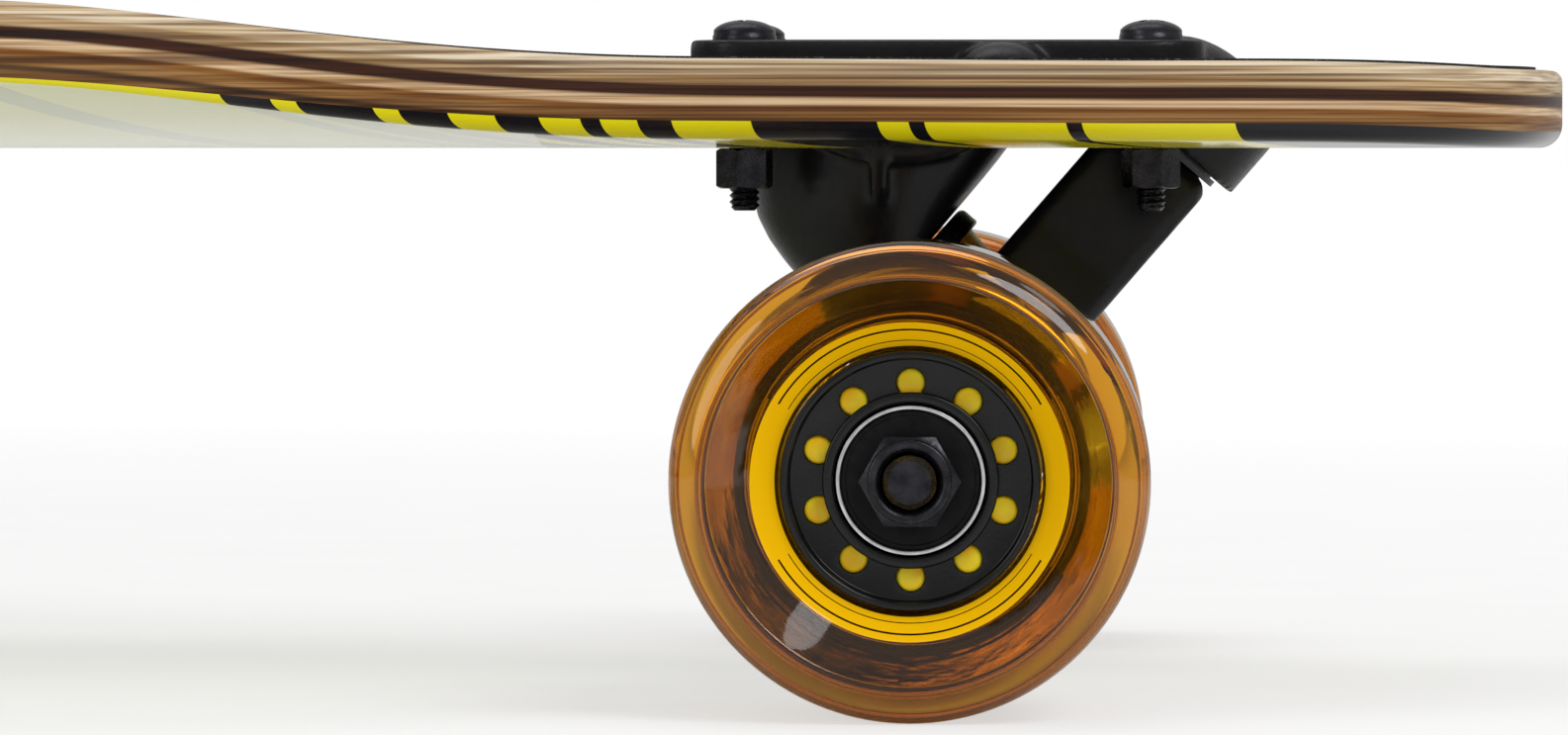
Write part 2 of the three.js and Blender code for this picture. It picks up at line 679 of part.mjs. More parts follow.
// A shape drawn with the truck's x and z, thickened evenly about y = 0.
function acrossY(shape, thickness) {
  const options = { depth: thickness, bevelEnabled: false };
  return new THREE.ExtrudeGeometry(shape, options)
    .translate(0, 0, -thickness / 2)
    .rotateX(Math.PI / 2);
}

// The rib under the plate between the tower and the pivot boss.
function spineRib() {
  const top = PLATE_BOTTOM + PLATE_THICKNESS / 2;
  const bossX = ARM_TOP * Math.sin(STEER_TILT);
  const outline = new THREE.Shape();
  outline.moveTo(TOWER_TOP_CENTRE + TOWER_KNEE_HALF_LENGTH / 2, top);
  outline.lineTo(TOWER_KNEE_CENTRE + TOWER_KNEE_HALF_LENGTH - 1, DECK_OVER_AXLE - SPINE_DEPTH);
  outline.lineTo(bossX - BOSS_RADIUS, DECK_OVER_AXLE - SPINE_DEPTH / 2);
  outline.lineTo(bossX, top);
  return solidOf(acrossY(outline, SPINE_WIDTH));
}

// The pivot boss: a round body on the steering axis with a domed cap.
function pivotBoss() {
  const cap = arc(0, 0, 1, 0, 90, 4).map(([across, up]) => [
    BOSS_RADIUS * across,
    BOSS_MOUTH + BOSS_SHOULDER + BOSS_CAP_HEIGHT * up,
  ]);
  const profile = [[0, BOSS_MOUTH], [BOSS_RADIUS, BOSS_MOUTH], ...cap];
  return alongZ(turned(profile, ROUND_SIDES)).translate(-RAKE, 0, 0).rotateY(STEER_TILT);
}

// The hole that the pivot cup is pressed into.
function pivotBore() {
  const profile = [
    [0, BOSS_MOUTH - OVERCUT],
    [CUP_RADIUS + FIT, BOSS_MOUTH - OVERCUT],
    [CUP_RADIUS + FIT, BOSS_MOUTH + CUP_STRAIGHT],
    [CUP_TIP_RADIUS + FIT, CUP_END + FIT],
    [0, CUP_END + FIT],
  ];
  return alongZ(turned(profile, ROUND_SIDES)).translate(-RAKE, 0, 0).rotateY(STEER_TILT);
}

const lugPlaces = () =>
  [-1, 1].map((side) => [PLATE_OFFSET + LUG_OFFSET, (side * PLATE_WIDTH) / 2]);

// A low dome on each long side of the plate.
function sideLugs() {
  const dome = arc(0, 0, 1, 0, 90, 3).map(([out, up]) => [
    LUG_RADIUS * out,
    PLATE_BOTTOM + LUG_HEIGHT * up,
  ]);
  const profile = [[0, PLATE_BOTTOM], ...dome];
  const lug = alongZ(turned(profile, RING_SIDES));
  return lugPlaces().map(([x, y]) => solidOf(lug.clone().translate(x, y, 0)));
}

function baseplateGeometry() {
  const plate = solidOf(raised(plateShape(0), PLATE_BOTTOM, PLATE_TOP));
  const body = joined(
    plate,
    towerBody(),
    spineRib(),
    solidOf(pivotBoss()),
    ...sideWebs(),
    ...towerRibs(),
    ...sideLugs(),
  );
  const kingpinHole = bar(KINGPIN_BORE, BOWL_FLOOR - OVERCUT, TOWER_SEAT + OVERCUT, PIN_SIDES);
  const bolts = boltPlaces().map((place) =>
    solidOf(boltHole(place, PLATE_BOTTOM - OVERCUT, PLATE_TOP + OVERCUT)),
  );
  return geometryOf(
    cut(
      body,
      towerBowl(),
      kingpinSocket(),
      solidOf(alongX(kingpinHole).translate(0, 0, KINGPIN_RISE).rotateY(STEER_TILT)),
      solidOf(pivotBore()),
      ...bolts,
    ),
  );
}

// ---------------------------------------------------------------- mounting bolts

// A pan-head bolt with its lock nut run up under the deck, as they are when tightened.
function mountingBoltGeometry() {
  const seat = PLATE_TOP + FLUSH;
  const brim = seat + BOLT_HEAD_BRIM;
  const nutFace = DECK_BOTTOM - FLUSH;
  const nutEnd = nutFace - BOLT_NUT_HEIGHT;
  const profile = [
    [0, seat - BOLT_LENGTH],
    [BOLT_RADIUS, seat - BOLT_LENGTH],
    [BOLT_RADIUS, seat],
    [BOLT_HEAD_RADIUS, seat],
    [BOLT_HEAD_RADIUS, brim],
    [BOLT_HEAD_RADIUS * 0.7, brim + (BOLT_HEAD_HEIGHT - BOLT_HEAD_BRIM) * 0.75],
    [0, seat + BOLT_HEAD_HEIGHT],
  ];
  const hex = solidOf(hexBar(BOLT_NUT_FLATS, nutEnd, nutFace));
  return alongZ(geometryOf(joined(solidOf(turned(profile, BOLT_SIDES)), hex)));
}

// ---------------------------------------------------------------- kingpin, bushings and cup

function kingpinGeometry() {
  const head = solidOf(hexBar(KINGPIN_HEAD_FLATS, KINGPIN_HEAD_FACE - KINGPIN_HEAD_HEIGHT, KINGPIN_HEAD_FACE));
  const profile = [
    [0, KINGPIN_HEAD_FACE - KINGPIN_HEAD_HEIGHT / 2],
    [KINGPIN_RADIUS, KINGPIN_HEAD_FACE - KINGPIN_HEAD_HEIGHT / 2],
    [KINGPIN_RADIUS, KINGPIN_END - KINGPIN_CHAMFER],
    [KINGPIN_RADIUS - KINGPIN_CHAMFER, KINGPIN_END],
    [0, KINGPIN_END],
  ];
  return alongX(geometryOf(joined(head, solidOf(turned(profile, PIN_SIDES)))));
}

// The cup washer that holds the barrel bushing's end.
function cupWasherGeometry() {
  const rimTop = CUP_WASHER_BACK + CUP_WASHER_HEIGHT;
  const corner = CUP_WASHER_RADIUS - CUP_WASHER_EDGE;
  const profile = [
    [KINGPIN_BORE, CUP_WASHER_BACK],
    ...arc(corner, CUP_WASHER_BACK + CUP_WASHER_EDGE, CUP_WASHER_EDGE, -90, 0, 2),
    [CUP_WASHER_RADIUS, rimTop],
    [BUSHING_RADIUS + FIT, rimTop],
    [BUSHING_RADIUS + FIT, CUP_WASHER_BACK + CUP_WASHER_THICKNESS],
    [KINGPIN_BORE, CUP_WASHER_BACK + CUP_WASHER_THICKNESS],
  ];
  return alongX(turnedRing(profile, ROUND_SIDES));
}

// The barrel bushing between the tower and the hanger, with a slightly hollow flank.
function boardsideBushingGeometry() {
  const middle = (BOARDSIDE_START + BOARDSIDE_END) / 2;
  const profile = [
    [KINGPIN_BORE, BOARDSIDE_END],
    [BUSHING_RADIUS, BOARDSIDE_END],
    [BUSHING_RADIUS - BUSHING_WAIST, middle],
    [BUSHING_RADIUS, BOARDSIDE_START],
    [KINGPIN_BORE, BOARDSIDE_START],
  ];
  return alongX(turnedRing(profile, ROUND_SIDES));
}

// The cone bushing between the hanger and the kingpin's nut.
function roadsideBushingGeometry() {
  const profile = [
    [KINGPIN_BORE, ROADSIDE_START],
    [BUSHING_RADIUS, ROADSIDE_START],
    [BUSHING_RADIUS, ROADSIDE_START + RECESS_DEPTH],
    [ROADSIDE_TIP_RADIUS, ROADSIDE_END],
    [KINGPIN_BORE, ROADSIDE_END],
  ];
  return alongX(turnedRing(profile, ROUND_SIDES));
}

// The urethane cup that the hanger's nose turns in.
function pivotCupGeometry() {
  const profile = [
    [NOSE_RADIUS + FIT, CUP_FLANGE_FACE],
    [CUP_FLANGE_RADIUS, CUP_FLANGE_FACE],
    [CUP_FLANGE_RADIUS, CUP_FLANGE_FACE + CUP_FLANGE_THICKNESS],
    [CUP_RADIUS, CUP_FLANGE_FACE + CUP_FLANGE_THICKNESS],
    [CUP_RADIUS, BOSS_MOUTH + CUP_STRAIGHT],
    [CUP_TIP_RADIUS, CUP_END],
    [0, CUP_END],
    ...arc(0, NOSE_END - NOSE_TIP_RADIUS, NOSE_TIP_RADIUS + FIT, 90, 0, 3),
    [NOSE_RADIUS + FIT, ARM_TOP + NOSE_STRAIGHT + FIT],
  ];
  return alongZ(turned([...profile, profile[0]], ROUND_SIDES));
}

// ---------------------------------------------------------------- hanger

// A ring round the axle at one distance along it, blended from the body's boxy section to the
// wing's round end.
function wingRing(y) {
  const span = WING_TAPER_END - BODY_HALF_LENGTH;
  const taper = smooth(THREE.MathUtils.clamp((Math.abs(y) - BODY_HALF_LENGTH) / span, 0, 1));
  const middle = BODY_HEIGHT / 2 - BODY_FOOT;
  const halfThick = THREE.MathUtils.lerp(HANGER_THICKNESS / 2, WING_END_RADIUS, taper);
  const halfTall = THREE.MathUtils.lerp(BODY_HEIGHT / 2, WING_END_RADIUS, taper);
  const power = 1 / THREE.MathUtils.lerp(2, 1, taper);
  const bulge = (value) => Math.sign(value) * Math.abs(value) ** power;
  return Array.from({ length: SECTION_POINTS }, (_, i) => {
    const angle = (2 * Math.PI * i) / SECTION_POINTS;
    const across = -RAKE * (1 - taper) + halfThick * bulge(Math.sin(angle));
    const up = middle * (1 - taper) + halfTall * bulge(Math.cos(angle));
    return new THREE.Vector3(across, y, up);
  });
}

// The cross body and both wings, as one skin from end to end.
function wings() {
  const stations = [];
  for (let i = 0; i <= WING_STEPS; i += 1) {
    stations.push(THREE.MathUtils.lerp(BODY_HALF_LENGTH, WING_TAPER_END, i / WING_STEPS));
  }
  stations.push(HANGER_HALF_LENGTH);
  const mirrored = stations.map((y) => -y).reverse();
  return solidOf(loft([...mirrored, ...stations].map(wingRing)));
}

// The arm from the cross body, round the kingpin and up to the pivot.
function arm() {
  const outline = new THREE.Shape();
  outline.moveTo(-ARM_ROOT_HALF_WIDTH, 0);
  outline.lineTo(ARM_ROOT_HALF_WIDTH, 0);
  outline.lineTo(RING_RADIUS, KINGPIN_RISE);
  outline.quadraticCurveTo(RING_RADIUS - 1, KINGPIN_RISE + RING_RADIUS / 2, ARM_WAIST_HALF_WIDTH, ARM_WAIST_RISE);
  outline.lineTo(ARM_TOP_HALF_WIDTH, ARM_TOP - ARM_BEVEL);
  outline.lineTo(ARM_TOP_HALF_WIDTH - ARM_BEVEL, ARM_TOP);
  outline.lineTo(ARM_BEVEL - ARM_TOP_HALF_WIDTH, ARM_TOP);
  outline.lineTo(-ARM_TOP_HALF_WIDTH, ARM_TOP - ARM_BEVEL);
  outline.lineTo(-ARM_WAIST_HALF_WIDTH, ARM_WAIST_RISE);
  outline.quadraticCurveTo(1 - RING_RADIUS, KINGPIN_RISE + RING_RADIUS / 2, -RING_RADIUS, KINGPIN_RISE);
  return acrossX(outline, HANGER_THICKNESS, ARM_BEVEL).translate(-RAKE, 0, 0);
}

// The round nose that turns in the pivot cup.
function nose() {
  const tip = NOSE_END - NOSE_TIP_RADIUS;
  const profile = [
    [0, ARM_TOP - 2 * OVERCUT],
    [NOSE_RADIUS, ARM_TOP - 2 * OVERCUT],
    [NOSE_RADIUS, ARM_TOP + NOSE_STRAIGHT],
    ...arc(0, tip, NOSE_TIP_RADIUS, 0, 90, 3),
  ];
  return alongZ(turned(profile, RING_SIDES)).translate(-RAKE, 0, 0);
}

// A round cutter about the kingpin, in the steering frame.
function kingpinCutter(radius, from, to) {
  return solidOf(alongX(bar(radius, from, to, ROUND_SIDES)).translate(0, 0, KINGPIN_RISE));
}

function hangerGeometry() {
  const collar = (side) =>
    solidOf(bar(SPEED_WASHER_RADIUS, HANGER_HALF_LENGTH - OVERCUT, COLLAR_FACE, RING_SIDES)
      .rotateX(side > 0 ? 0 : Math.PI));
  const body = joined(wings(), solidOf(arm()), solidOf(nose()), collar(1), collar(-1));
  const recess = BUSHING_RADIUS + RECESS_PLAY;
  return geometryOf(
    cut(
      body,
      solidOf(bar(BORE_RADIUS, -COLLAR_FACE - OVERCUT, COLLAR_FACE + OVERCUT, PIN_SIDES)),
      kingpinCutter(RING_HOLE_RADIUS, SLAB_INNER - OVERCUT, SLAB_OUTER + OVERCUT),
      kingpinCutter(recess, SLAB_INNER - OVERCUT, SLAB_INNER + RECESS_DEPTH),
      kingpinCutter(recess, SLAB_OUTER - RECESS_DEPTH, SLAB_OUTER + OVERCUT),
    ),
  );
}

function axleGeometry() {
  const end = AXLE_HALF_LENGTH;
  const profile = [
    [0, -end],
    [AXLE_RADIUS - AXLE_CHAMFER, -end],
    [AXLE_RADIUS, AXLE_CHAMFER - end],
    [AXLE_RADIUS, end - AXLE_CHAMFER],
    [AXLE_RADIUS - AXLE_CHAMFER, end],
    [0, end],
  ];
  return turned(profile, PIN_SIDES);
}

// ---------------------------------------------------------------- wheels

// A half profile mirrored about the wheel's middle. The half runs from the bore outwards.
function mirrored(half) {
  const lower = half.map(([radius, height]) => [radius, -height]);
  return [...lower, ...half.slice().reverse()];
}

function tyreGeometry() {
  const side = WHEEL_WIDTH / 2;
  const floor = side - DISH_DEPTH;
  const coneTop = floor + CONE_DEPTH;
  const lip = WHEEL_RADIUS - SHOULDER_RADIUS;
  const half = [
    [CORE_RADIUS + FIT, floor],
    [DISH_RADIUS, coneTop],
    ...arc(lip, side - SHOULDER_RADIUS, SHOULDER_RADIUS, 90, 0, 3),
  ];
  return turnedRing(mirrored(half), TYRE_SIDES);
}

// The moulded core: a rim and a disc with holes, round a hub that holds the bearings.
function coreGeometry() {
  const rimFace = WHEEL_WIDTH / 2 - DISH_DEPTH - CORE_SET_BACK;
  const seat = BEARING_RADIUS + FIT;
  const hub = seat + HUB_WALL;
  const disc = [
    [hub - HUB_WALL / 2, CORE_DISC_WIDTH / 2],
    [CORE_RADIUS - CORE_RIM, CORE_DISC_WIDTH / 2],
    [CORE_RADIUS - CORE_RIM, rimFace],
    [CORE_RADIUS, rimFace],
  ];
  const shelf = SPACER_LENGTH / 2 - END_PLAY;
  const hubHalf = [
    [seat - HUB_SHELF, shelf],
    [seat, shelf],
    [seat, BEARING_OFFSET + BEARING_WIDTH / 2 + HUB_STEP],
    [hub, BEARING_OFFSET + BEARING_WIDTH / 2 + HUB_STEP],
  ];
  const holes = Array.from({ length: CORE_HOLES }, (_, i) => {
    const hole = bar(CORE_HOLE_RADIUS, -rimFace - OVERCUT, rimFace + OVERCUT, HOLE_SIDES);
    return solidOf(hole.translate(0, 0, CORE_HOLE_CIRCLE).rotateY((2 * Math.PI * i) / CORE_HOLES));
  });
  const drilled = cut(solidOf(turnedRing(mirrored(disc), CORE_SIDES)), ...holes);
  return geometryOf(joined(drilled, solidOf(turnedRing(mirrored(hubHalf), CORE_SIDES))));
}

// A shielded ball bearing, drawn as one ring. The shield on its open side is set back between
// the races.
function bearingGeometry() {
  const face = BEARING_WIDTH / 2;
  const profile = [
    [BORE_RADIUS, -face],
    [BEARING_RADIUS, -face],
    [BEARING_RADIUS, face],
    [BEARING_RADIUS - RACE_WALL, face],
    [BEARING_RADIUS - RACE_WALL, face - SHIELD_DEPTH],
    [BORE_RADIUS + RACE_WALL, face - SHIELD_DEPTH],
    [BORE_RADIUS + RACE_WALL, face],
    [BORE_RADIUS, face],
  ];
  return turnedRing(profile, RING_SIDES);
}

function spacerGeometry() {
  const length = SPACER_LENGTH - 2 * END_PLAY;
  return washer(BORE_RADIUS, BORE_RADIUS + SPACER_WALL, -length / 2, length, PIN_SIDES);
}

// ---------------------------------------------------------------- assembly

// Each shape is built once and shared by its copies.
const shapes = {
  baseplate: baseplateGeometry(),
  mountingBolt: mountingBoltGeometry(),
  kingpin: kingpinGeometry(),
  kingpinNut: alongX(
    lockNut(KINGPIN_HEAD_FLATS, KINGPIN_BORE, KINGPIN_NUT_START, KINGPIN_NUT_HEIGHT, KINGPIN_NUT_COLLAR),
  ),
  cupWasher: cupWasherGeometry(),
  roadsideWasher: alongX(
    washer(KINGPIN_BORE, ROADSIDE_WASHER_RADIUS, ROADSIDE_WASHER_START, ROADSIDE_WASHER_THICKNESS),
  ),
  boardsideBushing: boardsideBushingGeometry(),
  roadsideBushing: roadsideBushingGeometry(),
  pivotCup: pivotCupGeometry(),
  hanger: hangerGeometry(),
  axle: axleGeometry(),
  tyre: tyreGeometry(),
  core: coreGeometry(),
  bearing: bearingGeometry(),
  spacer: spacerGeometry(),
  speedWasher: washer(BORE_RADIUS, SPEED_WASHER_RADIUS, OUTER_WASHER_FACE, SPEED_WASHER_THICKNESS),
  axleNut: lockNut(AXLE_NUT_FLATS, BORE_RADIUS, AXLE_NUT_FACE, AXLE_NUT_HEIGHT, AXLE_NUT_COLLAR),
};

function piece(name, geometry, material) {
  const mesh = new THREE.Mesh(geometry, material.clone());
  mesh.name = name;
  return mesh;
}

// One wheel with its bearings and spacer, centred on its own middle.
function wheel(prefix) {
  const group = new THREE.Group();
  const outer = piece(`${prefix}_outer_bearing`, shapes.bearing, STEEL);
  const inner = piece(`${prefix}_inner_bearing`, shapes.bearing, STEEL);
  outer.position.y = BEARING_OFFSET;
  inner.position.y = -BEARING_OFFSET;
  inner.rotation.x = Math.PI;
  group.add(
    piece(`${prefix}_tyre`, shapes.tyre, URETHANE),
    piece(`${prefix}_core`, shapes.core, CORE_PLASTIC),
    outer,
    inner,
    piece(`${prefix}_spacer`, shapes.spacer, STEEL),
  );
  return group;
}

// What one end of an axle carries, drawn along +Y.
function axleEnd(prefix) {
  const group = new THREE.Group();
  const turning = wheel(prefix);
  turning.position.y = WHEEL_OFFSET;
  group.add(
    turning,
    piece(`${prefix}_speed_washer`, shapes.speedWasher, STEEL),
    piece(`${prefix}_axle_nut`, shapes.axleNut, BLACK_STEEL),
  );
  return group;
}

// What lies along the kingpin and the steering axis, in the steering frame.
function steeringPieces(prefix) {
  const group = new THREE.Group();
  const onKingpin = new THREE.Group();
  onKingpin.position.z = KINGPIN_RISE;
  onKingpin.add(
    piece(`${prefix}_kingpin`, shapes.kingpin, STEEL),
    piece(`${prefix}_kingpin_nut`, shapes.kingpinNut, STEEL),
    piece(`${prefix}_boardside_washer`, shapes.cupWasher, BLACK_STEEL),
    piece(`${prefix}_roadside_washer`, shapes.roadsideWasher, BLACK_STEEL),
    piece(`${prefix}_boardside_bushing`, shapes.boardsideBushing, BUSHING_URETHANE),
    piece(`${prefix}_roadside_bushing`, shapes.roadsideBushing, BUSHING_URETHANE),
  );
  const cup = piece(`${prefix}_pivot_cup`, shapes.pivotCup, CUP_URETHANE);
  cup.position.x = -RAKE;
  group.rotation.y = STEER_TILT;
  group.add(piece(`${prefix}_hanger`, shapes.hanger, BLACK_CASTING), cup, onKingpin);
  return group;
}

// A whole truck. sides names its +Y and its -Y end.
function truck(prefix, sides) {
  const group = new THREE.Group();
  const far = axleEnd(`${prefix}_${sides[0]}`);
  const near = axleEnd(`${prefix}_${sides[1]}`);
  near.rotation.x = Math.PI;
  group.add(
    piece(`${prefix}_baseplate`, shapes.baseplate, BLACK_CASTING),
    piece(`${prefix}_axle`, shapes.axle, BLACK_STEEL),
    steeringPieces(prefix),
    far,
    near,
  );
  boltPlaces().forEach(([x, y], i) => {
    const bolt = piece(`${prefix}_mounting_bolt_${i + 1}`, shapes.mountingBolt, BLACK_STEEL);
    bolt.position.set(x, y, 0);
    group.add(bolt);
  });
  return group;
}

const longboard = new THREE.Group();
longboard.position.z = AXLE_HEIGHT;

const frontTruck = truck("front", ["left", "right"]);
frontTruck.position.x = WHEELBASE / 2;

const rearTruck = truck("rear", ["right", "left"]);
rearTruck.position.x = -WHEELBASE / 2;
rearTruck.rotation.z = Math.PI;

longboard.add(
  piece("deck", deckGeometry(), MAPLE),
  piece("grip_tape", gripGeometry(), GRIP),
  frontTruck,
  rearTruck,
);

export default longboard;
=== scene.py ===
"""A drop-through longboard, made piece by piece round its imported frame.

The shapes are drawn in millimetres, in the frame of the truck or the wheel that they belong
to, and are turned to metres in the board's own frame when they are finished.
"""

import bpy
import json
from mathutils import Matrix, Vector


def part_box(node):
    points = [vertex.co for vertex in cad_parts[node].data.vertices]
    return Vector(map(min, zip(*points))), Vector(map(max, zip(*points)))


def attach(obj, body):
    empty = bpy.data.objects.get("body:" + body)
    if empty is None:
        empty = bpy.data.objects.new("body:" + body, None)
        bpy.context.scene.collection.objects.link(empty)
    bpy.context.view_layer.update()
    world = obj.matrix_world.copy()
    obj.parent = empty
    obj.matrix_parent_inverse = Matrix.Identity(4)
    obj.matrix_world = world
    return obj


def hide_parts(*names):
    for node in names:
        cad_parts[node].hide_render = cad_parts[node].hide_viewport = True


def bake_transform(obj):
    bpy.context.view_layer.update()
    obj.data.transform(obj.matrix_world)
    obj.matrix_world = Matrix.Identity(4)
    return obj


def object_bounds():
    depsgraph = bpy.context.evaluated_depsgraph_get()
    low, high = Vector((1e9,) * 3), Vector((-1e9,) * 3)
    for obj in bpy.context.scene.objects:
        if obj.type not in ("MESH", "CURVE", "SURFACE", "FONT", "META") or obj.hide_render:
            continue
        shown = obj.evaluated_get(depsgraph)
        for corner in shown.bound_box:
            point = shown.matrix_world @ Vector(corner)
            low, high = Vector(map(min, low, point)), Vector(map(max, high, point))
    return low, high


bl_info = {
    "name": "Longboard Maker",
    "version": (1, 0, 0),
    "blender": (4, 5, 0),
    "location": "3D View > Sidebar > Longboard",
    "description": "Makes a drop-through longboard with reverse-kingpin trucks",
    "category": "Add Mesh",
}

import json
import math

import bmesh
import bpy
from mathutils import Matrix, Vector

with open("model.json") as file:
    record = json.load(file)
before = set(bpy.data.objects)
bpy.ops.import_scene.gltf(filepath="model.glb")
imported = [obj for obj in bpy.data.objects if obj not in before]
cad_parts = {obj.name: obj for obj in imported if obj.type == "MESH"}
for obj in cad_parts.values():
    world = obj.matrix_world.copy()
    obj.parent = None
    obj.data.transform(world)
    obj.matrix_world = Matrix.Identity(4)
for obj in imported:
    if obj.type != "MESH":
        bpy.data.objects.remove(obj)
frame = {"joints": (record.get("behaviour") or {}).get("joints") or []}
CAD_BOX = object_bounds()

# ------------------------------------------------------------------ places taken from the frame

MM = 0.001


def span(node):
    """The lowest and the highest corner of a frame node, in millimetres."""
    low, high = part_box(node)
    return low / MM, high / MM


def middle(node):
    """The middle of a frame node's box, in millimetres."""
    low, high = span(node)
    return (low + high) / 2


ENDS = ("front", "rear")
WHEELS = [(end, side) for end in ENDS for side in ("left", "right")]
HALF_TURN = Matrix.Rotation(math.pi, 4, "Z")
AXLE = {end: middle(f"{end}_axle") for end in ENDS}
TRUCK = {
    "front": Matrix.Translation(AXLE["front"]),
    "rear": Matrix.Translation(AXLE["rear"]) @ HALF_TURN,
}
WHEELBASE = AXLE["front"].x - AXLE["rear"].x
AXLE_HEIGHT = AXLE["front"].z

STEER = next(joint for joint in frame["joints"] if joint["name"] == "front_truck_steer")
TIP = Matrix.Rotation(math.atan2(STEER["axis"][0], STEER["axis"][2]), 4, "Y")
ALONG_X = Matrix.Rotation(-math.pi / 2, 4, "Z")
ALONG_Z = Matrix.Rotation(math.pi / 2, 4, "X")

# ------------------------------------------------------------------ sizes in millimetres

FIT = 0.3  # between round faces that seat on each other
FLUSH = 0.05  # between level faces that lie on each other

DECK_LOW, DECK_HIGH = span("deck")
DECK_LENGTH = DECK_HIGH.x - DECK_LOW.x
DECK_HALF_WIDTH = DECK_HIGH.y
DECK_BOTTOM = DECK_LOW.z
DECK_THICKNESS = 12.1
DECK_TOP = DECK_BOTTOM + DECK_THICKNESS
DECK_LEVEL = DECK_TOP - AXLE_HEIGHT  # in the truck's frame
GRIP_THICKNESS = 0.5
WAIST_HALF_WIDTH = 70
NOSE_HALF_WIDTH = 66
SPINE_END = DECK_LENGTH / 2 - NOSE_HALF_WIDTH
NOSE_START = 30  # from the axle outwards
FLARE_END = 30  # from the axle towards the middle
FLARE_START = 142
FLAT_HALF_WIDTH = 36.7
TOP_CORNER = 1.8
BOTTOM_ROLL = 3.6  # of the edge, up to the waist's width
WIDE_ROLL = 1.2  # at the deck's full width
GRIP_INSET = 4.2
GRIP_MARGIN = 1.5
SLOT = (-32, 58, 14, 6)  # inner end, outer end, half width, corner
SLOT_WAIST = (-21, 27, 21, 6)

PLATE_LENGTH = 80.5
PLATE_WIDTH = 57
PLATE_THICKNESS = 4.7
PLATE_CORNER = 9
PLATE_OFFSET = 3.8
PLATE_BOTTOM = DECK_LEVEL + FLUSH
PLATE_TOP = PLATE_BOTTOM + PLATE_THICKNESS
LUG_OFFSET = 8.6
LUG_RADIUS = 7.2
LUG_HEIGHT = 4.3
BOLT_PITCH = 63.5
BOLT_SPREAD = 41.3
BOLT_RADIUS = 2.4
BOLT_LENGTH = 26.7
BOLT_HEAD_RADIUS = 5
BOLT_NUT_FLATS = 8
BOLT_NUT_HEIGHT = 6.3
TOWER_WALL = 4.2
TOWER_MIDDLE = -3  # of its foot, along the truck
TOWER_HALF_LENGTH = 24
TOWER_HALF_WIDTH = 17
KNEE_MIDDLE = -7  # of the tower's knee, along the truck
KNEE_DROP = 17.8
KNEE_HALF_LENGTH = 19.6
KNEE_HALF_WIDTH = 16.2
KNEE_SLANT = 5.3
BOSS_RADIUS = 12.4
WEB_RADIUS = 29  # of the tower's side webs, at their round feet
WEB_MIDDLE = -4
WEB_HALF_LENGTH = 14.5
WEB_DROP = 14.7
WEB_OUTER = 19.2  # of a web's outer side, from the truck's middle
WEB_THICKNESS = 5
RIB_THICKNESS = 2.6
SPINE_THICKNESS = 9

RAKE = 3.05
KINGPIN_RISE = 18.75
KINGPIN_RADIUS = 5
KINGPIN_BORE = KINGPIN_RADIUS + FIT
KINGPIN_FLATS = 14.3
KINGPIN_HEAD = 6.2
BUSHING_RADIUS = 13.2
HANGER_THICKNESS = 18.7
RECESS_DEPTH = 5.5
SLAB_INNER = -RAKE - HANGER_THICKNESS / 2
SLAB_OUTER = -RAKE + HANGER_THICKNESS / 2
BARREL_TOP = SLAB_INNER + RECESS_DEPTH - FIT
BARREL_FOOT = BARREL_TOP - 12.3
WASHER_THICKNESS = 1.6
WASHER_RADIUS = 11
CUP_WASHER_RADIUS = 14.4
CUP_WASHER_HEIGHT = 3.5
CUP_WASHER_BACK = BARREL_FOOT - FIT - WASHER_THICKNESS
TOWER_SEAT = CUP_WASHER_BACK - FIT
BOWL_FLOOR = TOWER_SEAT - 5.5
HEAD_FACE = BOWL_FLOOR - FIT
CONE_FOOT = SLAB_OUTER - RECESS_DEPTH + FIT
CONE_TIP = CONE_FOOT + 10.9
CONE_TIP_RADIUS = 10.2
ROADSIDE_WASHER = CONE_TIP + FIT
KINGPIN_NUT = ROADSIDE_WASHER + WASHER_THICKNESS + FIT
KINGPIN_NUT_HEIGHT = 8
KINGPIN_END = KINGPIN_NUT + KINGPIN_NUT_HEIGHT + 1.3

ARM_TOP = 61.2
NOSE_RADIUS = 6.5
NOSE_TIP = 4.8
CUP_RADIUS = 8.3
CUP_FLANGE = ARM_TOP + FIT
FLANGE_THICKNESS = 1
CUP_FLANGE_RADIUS = 9.3
BOSS_MOUTH = CUP_FLANGE + FLANGE_THICKNESS + FIT
CUP_TAPER = BOSS_MOUTH + 7  # where the cup begins to taper
NOSE_TAPER = ARM_TOP + 2  # where the nose begins to taper
NOSE_END = ARM_TOP + 11.8
CUP_END = NOSE_END + FIT + 2.2
HANGER_HALF = 90
BODY_HALF = 20
WING_END = 84
WING_RADIUS = 8.6
BODY_HALF_HEIGHT = 12.5
BODY_RISE = 3.5  # of the body's middle over the axle
ARM_FOOT = 19  # half the arm's width, as its side and neck are
ARM_SIDE = 17.6
ARM_BEND = 16.6  # guides the curve from side to neck and isn't reached by it
ARM_BEND_RISE = 8.8
ARM_NECK = 12.2
ARM_NECK_RISE = 40
COLLAR_RADIUS = 6.3
HANGER_BORE = 8
AXLE_RADIUS = 4
AXLE_BORE = AXLE_RADIUS + FIT
AXLE_HALF = 124.2
AXLE_PLAIN = 112  # half of what has no thread
AXLE_NUT_FLATS = 13
AXLE_NUT_FOOT = 116.3  # along the axle from its middle, like the starts and ends below
AXLE_NUT_HEIGHT = 6.5
SPEED_WASHER_START = 115.2
SPEED_WASHER_END = 116.2
SPEED_WASHER_RADIUS = 6.3
SPACER_START = 98.2
SPACER_END = 108
SPACER_RADIUS = 5.9

